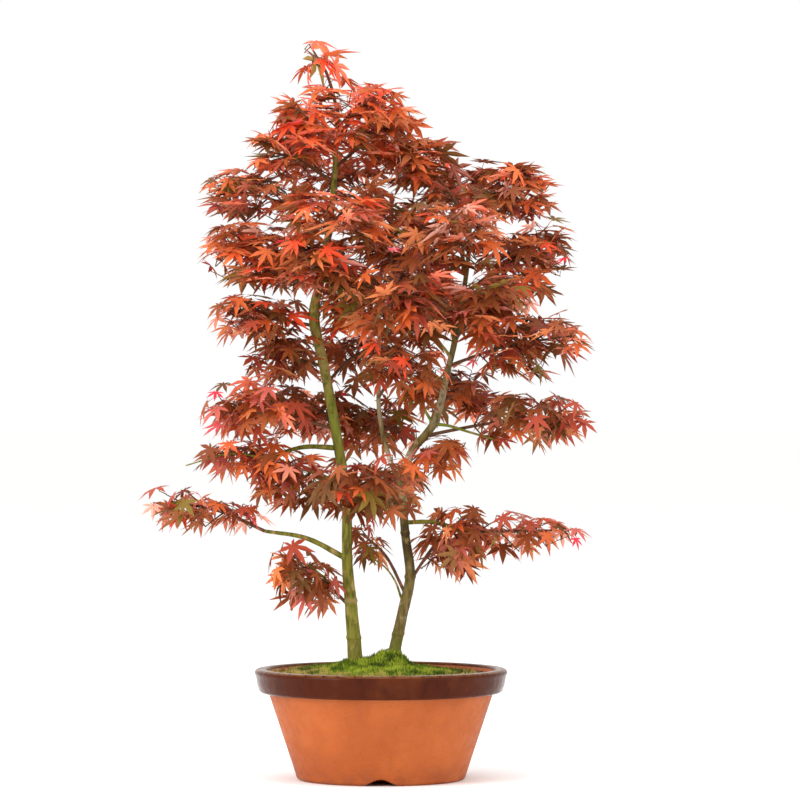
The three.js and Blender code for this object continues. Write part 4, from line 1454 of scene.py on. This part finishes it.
@dataclass
class Mass:
    """One mass of foliage: its space, and the bough and stem that carry it."""

    name: str
    limb: Limb
    bearing: float
    reach: float
    height: float
    half: Array  # half depth, half width, half height
    fork: float
    leaves: int
    bough: Limb | None = None
    least_bough: float = 51 * MM  # a nearer mass has its stem rooted in the limb
    bough_root: float = 3.6 * MM  # a bough's greatest radius at its root
    bough_tip: float = 2.1 * MM  # its radius at its tip, and the stem's at its root
    stem_tip: float = 1.4 * MM

    def __post_init__(self) -> None:
        """Sets the mass's directions, and grows its bough and its stem."""
        self.outward, self.side = level(self.bearing), level(self.bearing + 90)
        self.centre = self.outward * self.reach + UP * self.height
        self.root, thick = self.limb.at_height(self.fork)
        way = (self.centre - self.root) * [1, 1, 0]
        self.heading = unit(way if np.linalg.norm(way) > 0.01 else self.outward)
        self.start = self.limb.centre(1.0) if self.fork >= self.limb.points[-1, 2] else self.root
        self.grow_bough(thick)
        self.grow_stem()

    def depth(self, points: Array) -> Array:
        """Share of the way from the space's middle to its edge: (|u|^3 + |v|^3 + |w|^3)^(1/3).

        Args:
            points: Places, of shape (..., 3). u, v and w are their offsets over the half sizes.

        Returns:
            Shares, of shape (...).
        """
        offset = points - self.centre
        parts = np.stack([offset @ self.outward, offset @ self.side, offset[..., 2]], axis=-1) / self.half
        return np.cbrt(np.sum(np.abs(parts) ** 3, axis=-1))

    def grow_bough(self, thick: float) -> None:
        """Grows the bough, from the limb to where the way to the mass enters its space.

        Args:
            thick: The limb's radius at the fork.
        """
        low = self.centre - UP * 0.25 * self.half[2]
        way = self.root + (low - self.root) * np.linspace(0, 1, 61)[:, None]
        entered = np.nonzero(self.depth(way) < 0.86)[0]
        tip = way[entered[0]] if len(entered) else low
        length = float(np.linalg.norm(tip - self.root))
        if self.fork >= self.limb.points[-1, 2] or length - thick < self.least_bough:
            return
        radius = min(thick * 0.55, self.bough_root)
        middle = (self.root + tip) / 2 + UP * 0.08 * length
        rows = [[*self.root, radius], [*middle, (radius + self.bough_tip) / 2], [*tip, self.bough_tip]]
        self.bough = Limb(f"bough_{self.name}", np.array(rows) / MM)
        self.start = tip

    def grow_stem(self) -> None:
        """Grows the stem, from the bough's tip or the limb across the middle of the space."""
        reach = self.half[0] * abs(self.heading @ self.outward) + self.half[1] * abs(self.heading @ self.side)
        far = self.centre + self.heading * reach * 0.4 + UP * self.half[2] * 0.15
        middle = (self.start + far) / 2
        middle[2] += 0.35 * (far[2] - middle[2])
        rows = [[*self.start, self.bough_tip], [*middle, 1.8 * MM], [*far, self.stem_tip]]
        self.stem = Limb(f"stem_{self.name}", np.array(rows) / MM)


@dataclass
class Twigs:
    """Twigs in the making: their roots, unit directions, lengths and radii."""

    roots: Array
    directions: Array
    lengths: Array
    radii: Array

    def points(self, share: Array) -> Array:
        """Points along the twigs: root + direction s length, sagging by 0.06 length s^2.

        Args:
            share: Shares s of the way along, of shape (twigs, points).

        Returns:
            Points, of shape (twigs, points, 3).
        """
        reach = share[..., None] * self.lengths[:, None, None]
        return self.roots[:, None] + self.directions[:, None] * reach - UP * 0.06 * reach * share[..., None]

    def trimmed(self, borne: Array) -> "Twigs":
        """The twigs cut back to the last thing that they bear, without those that bear nothing.

        A twig bears what is rooted within 1.5 mm of one of 40 points along it.

        Args:
            borne: The roots of leaves and side shoots.

        Returns:
            The twigs.
        """
        share = np.repeat(np.linspace(0, 1, 40)[None], len(self.roots), axis=0)
        gap = np.linalg.norm(self.points(share)[:, :, None] - borne, axis=-1)
        last = np.max(np.where(np.min(gap, axis=-1) < 0.0015, share, 0.0), axis=1)
        cut = Twigs(self.roots, self.directions, self.lengths * last, self.radii)
        return cut.kept(last > 0)

    def tubes(self, sides: int) -> Surface:
        """The twigs as tapering tubes of four rings."""
        share = np.repeat(np.linspace(0, 1, 4)[None], len(self.roots), axis=0)
        return tubes(self.points(share), self.radii[:, None] * (1 - 0.45 * share), sides)

    def kept(self, chosen: NDArray[np.bool_]) -> "Twigs":
        """Only some of the twigs."""
        return Twigs(self.roots[chosen], self.directions[chosen], self.lengths[chosen], self.radii[chosen])


@dataclass(frozen=True)
class TwigOrder:
    """One order of twigs: the range of their greatest length, and their radius, in metres."""

    least: float
    most: float
    radius: float


@dataclass
class Crown:
    """All masses of foliage, grown by one seeded rule down to single leaves, in metres and degrees."""

    limbs: dict[str, Limb]
    twig: TwigOrder = TwigOrder(0.04, 0.11, 1.15 * MM)  # borne by a stem
    shoot: TwigOrder = TwigOrder(0.012, 0.045, 0.75 * MM)  # borne by a twig
    end_shoot: TwigOrder = TwigOrder(0.02, 0.06, 0.85 * MM)  # borne by the leader beyond a stem's tip
    sweep: tuple[float, float] = (54, 14)  # a twig's turn off what bears it, and how much that varies
    tilts: tuple[float, float] = (34, -26)  # of the pairs in turn, up and down
    step: float = 0.004  # by which a twig grows on
    pair_spacing: float = 0.022  # between the pairs of twigs along a stem
    shoot_spacing: float = 0.017  # between the pairs of side shoots along a twig
    node_spacing: float = 0.010  # between the pairs of leaves along a shoot
    leaf_size: float = 0.0335  # length of the middle lobe
    leaf_range: tuple[float, float] = (0.62, 1.14)  # shares of that size
    stalk_range: tuple[float, float] = (0.35, 0.85)  # shares of the leaf's size
    cup_range: tuple[float, float] = (0.06, 0.34)
    young_share: float = 0.06  # of the outermost leaves that are small and crimson
    side_turn: float = 68  # a leaf's turn off its twig
    end_turn: float = 32  # the same at the twig's tip
    turn_spread: float = 16
    # (height of a mass, leaves for each one that its row counts, least distance between blades)
    crowding: tuple[tuple[float, float, float], ...] = (
        (0.36, 8.4, 0.0142),
        (0.50, 9.6, 0.0121),
        (0.60, 13, 0.0103),
        (0.80, 10.4, 0.0115),
        (0.85, 5.5, 0.017),
    )
    rim: float = 1.09  # share of a space that its leaves reach
    ragged: float = 0.09  # how much that varies
    shallow: float = 0.036  # half height under which a mass's leaves reach further out
    full: float = 0.05  # half height under which a mass has fewer leaves
    low: float = 0.33  # height at and below which leaves droop as in the lower crown
    high: float = 0.64  # height from which on they droop as in the upper crown
    droop_low: float = 46
    droop_high: float = 10
    droop_spread: float = 17
    roll_spread: float = 20
    leftmost: float = -0.296  # that no leaf passes
    rightmost: float = 0.268
    highest: float = 0.884
    tint_foot: float = 0.25  # height at which the tints are those of the lower crown
    tint_rise: float = 0.6  # over which they change to those of the top
    girth: float = 0.27  # distance from the axis at which the crown counts as its outside

    def __post_init__(self) -> None:
        """Lays out the masses."""
        self.masses = [
            Mass(
                name=name,
                limb=self.limbs[limb],
                bearing=bearing,
                reach=reach * MM,
                height=height * MM,
                half=np.array([depth, width, tall]) * MM,
                fork=fork * MM,
                leaves=leaves,
            )
            for name, (limb, bearing, reach, height, depth, width, tall, fork, leaves) in MASSES.items()
        ]

    def free(self, mass: Mass, points: Array, share: float) -> NDArray[np.bool_]:
        """Whether points are within a share of a mass's space and not clearly in a neighbour's.

        Args:
            mass: The mass.
            points: Places, of shape (..., 3).
            share: How far towards the edge of the space they may be.

        Returns:
            Truths, of shape (...).
        """
        own = mass.depth(points)
        nearest = np.min([other.depth(points) for other in self.masses if other is not mass], axis=0)
        return (own < share) & (own < nearest + 0.35)

    def free_length(self, mass: Mass, roots: Array, directions: Array, most: Array, share: float) -> Array:
        """How far twigs can grow before they leave their mass's space.

        Args:
            mass: The mass.
            roots: The twigs' roots.
            directions: Their unit directions.
            most: The length that each may not pass.
            share: How far towards the edge of the space they may grow.

        Returns:
            Lengths, in whole steps or the most.
        """
        steps = np.arange(1, 40) * self.step
        points = roots[:, None] + directions[:, None] * steps[None, :, None]
        open_way = np.cumprod(self.free(mass, points, share), axis=1)
        return np.minimum(np.sum(open_way, axis=1) * self.step, most)

    def side_twigs(
        self,
        mass: Mass,
        points: Array,
        headings: Array,
        random: np.random.Generator,
        order: TwigOrder,
    ) -> Twigs:
        """Opposite pairs of twigs at nodes, swept forward and tilted in turn up and down.

        Args:
            mass: The mass that they grow in.
            points: The nodes.
            headings: The bearing twig's unit direction at each node.
            random: The mass's series.
            order: Which order of twigs they are.

        Returns:
            The twigs that are longer than 8 mm.
        """
        count = len(points)
        hand = np.tile([-1.0, 1.0], count)
        flat = unit(np.repeat(headings, 2, axis=0) * [1, 1, 0.0])
        mean, spread = self.sweep
        sweep = np.radians(hand * (mean + spread * random.uniform(-1, 1, 2 * count)))
        direction = turned(flat, np.repeat(UP[None], 2 * count, axis=0), sweep)
        turn = (np.repeat(np.arange(count), 2) + (hand > 0)) % 2
        rise = np.tan(np.radians(np.where(turn == 0, *self.tilts))) + 0.25 * random.uniform(-1, 1, 2 * count)
        direction = unit(direction + UP * rise[:, None])
        roots = np.repeat(points, 2, axis=0)
        most = random.uniform(order.least, order.most, 2 * count)
        length = self.free_length(mass, roots, direction, most, 0.9)
        twigs = Twigs(roots, direction, length, np.full(2 * count, order.radius))
        return twigs.kept(length > 0.008)

    def nodes(self, twigs: Twigs, spacing: float, first: float) -> tuple[Array, Array, Whole]:
        """Nodes along twigs, counted back from their tips.

        Args:
            twigs: The twigs.
            spacing: The distance between nodes.
            first: How far the outermost node is from the tip.

        Returns:
            The nodes' points, the twigs' directions there, and the nodes' number from the tip.
        """
        most = int(np.max(twigs.lengths, initial=0.0) / spacing) + 1
        back = first + spacing * np.arange(most)
        share = 1 - back[None, :] / twigs.lengths[:, None]
        points = twigs.points(np.clip(share, 0, 1))
        there = share > 0.12
        there[:, 0] |= twigs.lengths > 0
        directions = np.repeat(twigs.directions[:, None], most, axis=1)
        number = np.repeat(np.arange(most)[None], len(twigs.roots), axis=0)
        return points[there], directions[there], number[there]

    def grow(self, mass: Mass) -> tuple[list[Twigs], Leaves]:
        """Grows one mass: leader, twigs, side shoots and leaves.

        Args:
            mass: The mass.

        Returns:
            The twigs, and the leaves that hang within the space.
        """
        random = series_for(mass.name)
        stem = mass.stem
        tip, ahead = stem.centre(1.0)[None], unit(stem.heading(0.98))[None]
        length = self.free_length(mass, tip, ahead, np.array([0.08]), 0.92)
        leader = Twigs(tip, ahead, np.maximum(length, self.step), np.array([1.3 * MM]))
        pairs = max(2, round(stem.length() / self.pair_spacing))
        share = (np.arange(pairs) + 0.6 + 0.25 * random.uniform(-1, 1, pairs)) / pairs
        share = share[mass.depth(stem.centre(share)) < 1]
        twigs = self.side_twigs(mass, stem.centre(share), stem.heading(share), random, self.twig)
        points, directions, _ = self.nodes(twigs, self.shoot_spacing, 0.014)
        shoots = self.side_twigs(mass, points, directions, random, self.shoot)
        points, directions, _ = self.nodes(leader, self.shoot_spacing, 0.01)
        ends = self.side_twigs(mass, points, directions, random, self.end_shoot)
        leaves = self.leaves_on(mass, [leader, twigs, shoots, ends], random)
        shoots, ends = shoots.trimmed(leaves.roots), ends.trimmed(leaves.roots)
        borne = np.concatenate([leaves.roots, shoots.roots, ends.roots])
        return [leader.trimmed(borne), twigs.trimmed(borne), shoots, ends], leaves

    def tried_leaves(self, mass: Mass, carriers: list[Twigs], random: np.random.Generator) -> Leaves:
        """Leaves in pairs at the nodes of twigs, two tries a side.

        The topmost leaves are larger and hang more.

        Args:
            mass: The mass.
            carriers: The twigs.
            random: The mass's series.

        Returns:
            The leaves.
        """
        found = [self.nodes(twigs, self.node_spacing, 0.001) for twigs in carriers if len(twigs.roots)]
        points, along, number = (np.repeat(np.concatenate(part), 4, axis=0) for part in zip(*found))
        count = len(points)
        hand = np.tile([-1.0, 1.0], count // 2)
        spread = np.where(number == 0, self.end_turn, self.side_turn)
        spread = spread + self.turn_spread * random.uniform(-1, 1, count)
        flat = unit(along * [1, 1, 0.0] + 1e-6)
        heading = turned(flat, np.repeat(UP[None], count, axis=0), np.radians(hand * spread))
        rise = points[:, 2]
        height = np.clip((rise - self.low) / (self.high - self.low), 0, 1)
        droop = self.droop_low + (self.droop_high - self.droop_low) * height
        droop = droop + self.droop_spread * random.normal(0, 1, count)
        droop += 30 * np.clip((rise - 0.83) / 0.02, 0, 1)
        size = self.leaf_size * random.uniform(*self.leaf_range, count)
        size *= 1 + 0.28 * np.clip((rise - 0.81) / 0.03, 0, 1)
        young = (number == 0) & (random.uniform(0, 1, count) < self.young_share)
        young &= mass.depth(points) > 0.72
        return Leaves(
            roots=points,
            headings=heading,
            sizes=np.where(young, 0.62, 1.0) * size,
            stalks=np.where(young, 0.4, 1.0) * size * random.uniform(*self.stalk_range, count),
            droops=np.radians(np.clip(droop, -25, 84)),
            rolls=np.radians(self.roll_spread * random.normal(0, 1, count)),
            cups=random.uniform(*self.cup_range, count),
            tints=np.where(young, list(Tint).index(Tint.CRIMSON), self.tint_of(points, random)),
        )

    def leaves_on(self, mass: Mass, carriers: list[Twigs], random: np.random.Generator) -> Leaves:
        """Keeps the tried leaves that are within the mass's ragged edge and have room of their own.

        The edge is at rim of the space, plus 1.2 (1 - half height / shallow) in a shallow mass, and less
        ragged (1 + n) with n noise of 35 mm.

        Args:
            mass: The mass.
            carriers: The twigs.
            random: The mass's series.

        Returns:
            The leaves.
        """
        leaves = self.tried_leaves(mass, carriers, random)
        tips = leaves.tips()
        edge = self.rim + 1.2 * max(0.0, 1 - mass.half[2] / self.shallow)
        ragged = mass.depth(tips) + self.ragged * (1 + lattice_noise(tips, 0.035, 53))
        inside = self.free(mass, leaves.middles(), edge) & np.all(ragged < edge, axis=0)
        low, high = np.min(tips, axis=0), np.max(tips, axis=0)
        inside &= (high[:, 2] < self.highest) & (low[:, 0] > self.leftmost) & (high[:, 0] < self.rightmost)
        leaves = leaves.taken(inside)
        order = random.permutation(len(leaves.roots))
        heights, per, apart = np.array(self.crowding).T
        thin = min(1.0, mass.half[2] / self.full)
        most = round(max(mass.leaves, 6) * thin * float(np.interp(mass.height, heights, per)))
        gap = float(np.interp(mass.height, heights, apart))
        return leaves.taken(self.roomy(leaves.middles(), order, most, gap))

    def roomy(self, middles: Array, order: Whole, most: int, apart: float) -> Whole:
        """Picks places one by one, each at least a set distance from those before.

        Args:
            middles: The places.
            order: The order in which they are tried.
            most: How many are picked.
            apart: The least distance between two of them.

        Returns:
            The numbers of the picked places.
        """
        picked: list[int] = []
        for at in order:
            if len(picked) >= most:
                break
            if not picked or np.min(np.linalg.norm(middles[picked] - middles[at], axis=-1)) > apart:
                picked.append(int(at))
        return np.array(picked, dtype=int)

    def tint_of(self, points: Array, random: np.random.Generator) -> Whole:
        """Deals out the tints by spray: orange at the top, brown within, rose low down.

        A spray is a lump of space about 40 mm across. Its number picks from weights that change with the
        height h and with o, the square of how far out the leaf is: (top h^2 + low (1 - h)^1.2) o + deep (1 -
        0.75 o).
        Squaring o gives the crown's front the browner tints of its inside, as painted shade. The lower crown
        is lighter on its -X side, towards the key light: painted light.

        Args:
            points: The leaves' roots.
            random: The mass's series.

        Returns:
            The tints' numbers.
        """
        height = np.clip((points[:, 2] - self.tint_foot) / self.tint_rise, 0, 1)[:, None]
        away = np.linalg.norm(points[:, :2], axis=-1) / self.girth
        # Squared, so that the front of the crown takes the browner inner tints: painted shade.
        outer = np.clip(np.maximum(away, (points[:, 2] - 0.64) / 0.12), 0, 1)[:, None] ** 2
        # Painted light: the lower crown's -X side, towards the key light, counts as further out and takes
        # lighter tints.
        outer = np.minimum(outer + 0.6 * np.clip(-points[:, :1] / 0.15, 0, 1) * (1 - height), 1)
        top, low, deep = np.array(list(TINT_SHARES.values())).T
        weights = (top * height**2 + low * (1 - height) ** 1.2 + 0.001) * outer + deep * (1 - 0.75 * outer)
        steps = np.cumsum(weights / weights.sum(axis=-1, keepdims=True), axis=-1)
        spray = (lattice_noise(points, 0.02, 41) + 1) / 2
        pick = np.mod(spray * 2.7 + 0.12 * random.normal(0, 1, len(points)), 1.0)
        return np.minimum(np.sum(pick[:, None] > steps, axis=-1), len(Tint) - 1)

    def build(self, bark: bpy.types.Material) -> None:
        """Grows all masses and dresses them: boughs, stems, twigs, stalks, and the blades of each tint.

        Args:
            bark: The finish of the boughs.
        """
        carriers: list[Twigs] = []
        grown: list[Leaves] = []
        for mass in self.masses:
            twigs, leaves = self.grow(mass)
            carriers += [part for part in twigs if len(part.roots)]
            grown.append(leaves)
            if mass.bough is not None:
                Wood(mass.bough, 60, 12, ribs=0.06).build(bark, mass.bough.name)
        nodes = [f"foliage_{mass.name}" for mass in self.masses]
        stems = joined([Wood(mass.stem, 26, 8, ribs=0.08).surface() for mass in self.masses])
        shoot_bark = SHOOT_BARK.material()
        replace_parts(stems.piece("foliage_stems", [shoot_bark]), *nodes)
        twigs = joined([part.tubes(5) for part in carriers])
        twigs.piece("twigs", [shoot_bark])
        keys = Leaves.__dataclass_fields__
        every = Leaves(*(np.concatenate([getattr(part, key) for part in grown]) for key in keys))
        every.stalk_tubes().piece("leaf_stalks", [STALK_FINISH.material()])
        shape = LeafShape()
        for number, tint in enumerate(Tint):
            own = every.taken(every.tints == number)
            if not len(own.roots):
                continue
            face, back = tint.value
            label = f"leaves_{tint.name.lower()}"
            sides = [Plain(f"{label}_face", face, 0.55, 0.22), Plain(f"{label}_back", back, 0.7, 0.12)]
            finishes = [side.material() for side in sides]
            own.blades(shape).piece(label, finishes, smooth=False)
        LOG.info("crown: %d leaves on %d masses", len(every.roots), len(self.masses))


# ------------------------------------------------------------------------------------------------------
# The studio


@dataclass
class Studio:
    """A pale floor, soft lights and a level camera, in metres."""

    aim: tuple[float, float] = (0.0225, 0.4495)  # across and up
    distance: float = 5.0
    frame_width: float = 0.949
    sensor: float = 36.0  # mm
    floor_half: float = 60.0
    look_at: float = 0.45  # height that the lights face
    lights: tuple[tuple[str, tuple[float, float, float], float, float], ...] = (
        ("key_softbox", (-3.2, -2.2, 2.0), 2.2, 100),
        ("fill_softbox", (3.3, -1.9, 1.3), 2.4, 36),
        ("top_softbox", (0.0, -0.4, 3.2), 2.4, 56),
    )  # name, place, side and power in watts

    def floor(self) -> None:
        """Lays the floor: one large level sheet."""
        mesh = bpy.data.meshes.new("studio_floor")
        half = self.floor_half
        corners = [(-half, -half, 0.0), (half, -half, 0.0), (half, half, 0.0), (-half, half, 0.0)]
        mesh.from_pydata(corners, [], [(0, 1, 2, 3)])
        mesh.materials.append(Plain("studio_paper", (255, 255, 254), 0.95, 0.1).material())
        sheet = bpy.data.objects.new("studio_floor", mesh)
        bpy.context.scene.collection.objects.link(sheet)

    def light(self, name: str, place: tuple[float, float, float], size: float, power: float) -> None:
        """A square soft light that looks at the middle of the plant.

        Args:
            name: Its name.
            place: Where it stands.
            size: Its side.
            power: Its power in watts.
        """
        lamp = bpy.data.lights.new(name, "AREA")
        lamp.size, lamp.energy = size, power
        holder = bpy.data.objects.new(name, lamp)
        holder.location = place
        facing = Vector((0, 0, self.look_at)) - Vector(place)
        holder.rotation_euler = facing.to_track_quat("-Z", "Y").to_euler()
        bpy.context.scene.collection.objects.link(holder)

    def build(self) -> None:
        """Sets up the floor, the lights, the surrounding white and the camera."""
        self.floor()
        for name, place, size, power in self.lights:
            self.light(name, place, size, power)
        world = bpy.data.worlds.new("studio_white")
        world.use_nodes = True
        background = world.node_tree.nodes["Background"]
        background.inputs["Color"].default_value = (1, 1, 1, 1)
        background.inputs["Strength"].default_value = 1.0
        bpy.context.scene.world = world
        bpy.context.scene.view_settings.view_transform = "Standard"
        camera = bpy.data.cameras.new("camera")
        camera.sensor_width = self.sensor
        camera.lens = self.sensor * self.distance / self.frame_width
        holder = bpy.data.objects.new("camera", camera)
        holder.location = (self.aim[0], -self.distance, self.aim[1])
        holder.rotation_euler = (math.pi / 2, 0, 0)
        bpy.context.scene.collection.objects.link(holder)
        bpy.context.scene.camera = holder
        LOG.info("studio: lens %.1f mm", camera.lens)


def main() -> None:
    """Builds the studio, the pot, the ground, the limbs and the crown, and logs the pieces' face counts."""
    Studio().build()
    pot = Pot()
    pot.build()
    limbs = {
        "trunk_left": Limb("left_trunk", TRUNK_LEFT),
        "trunk_right": Limb("right_trunk", TRUNK_RIGHT),
        "stem_middle": Limb("middle_stem", STEM_MIDDLE),
    }
    Ground(pot, np.array([TRUNK_LEFT[0][:2], TRUNK_RIGHT[0][:2]])).build()
    olive, grey = OLIVE_BARK.material(), GREY_BARK.material()
    Wood(limbs["trunk_left"], 620, 40, scars=LEFT_SCARS, foot=0.09).build(olive, "trunk_left")
    Wood(limbs["trunk_right"], 620, 40, scars=RIGHT_SCARS, foot=0.12).build(grey, "trunk_right")
    Wood(limbs["stem_middle"], 200, 20).build(grey, "stem_middle")
    for name, stations in SIDE_BRANCHES.items():
        Wood(Limb(f"side_branch_{name}", stations), 60, 10, ribs=0.07).build(olive)
    Crown(limbs).build(olive)


if __name__ == "__main__":
    main()
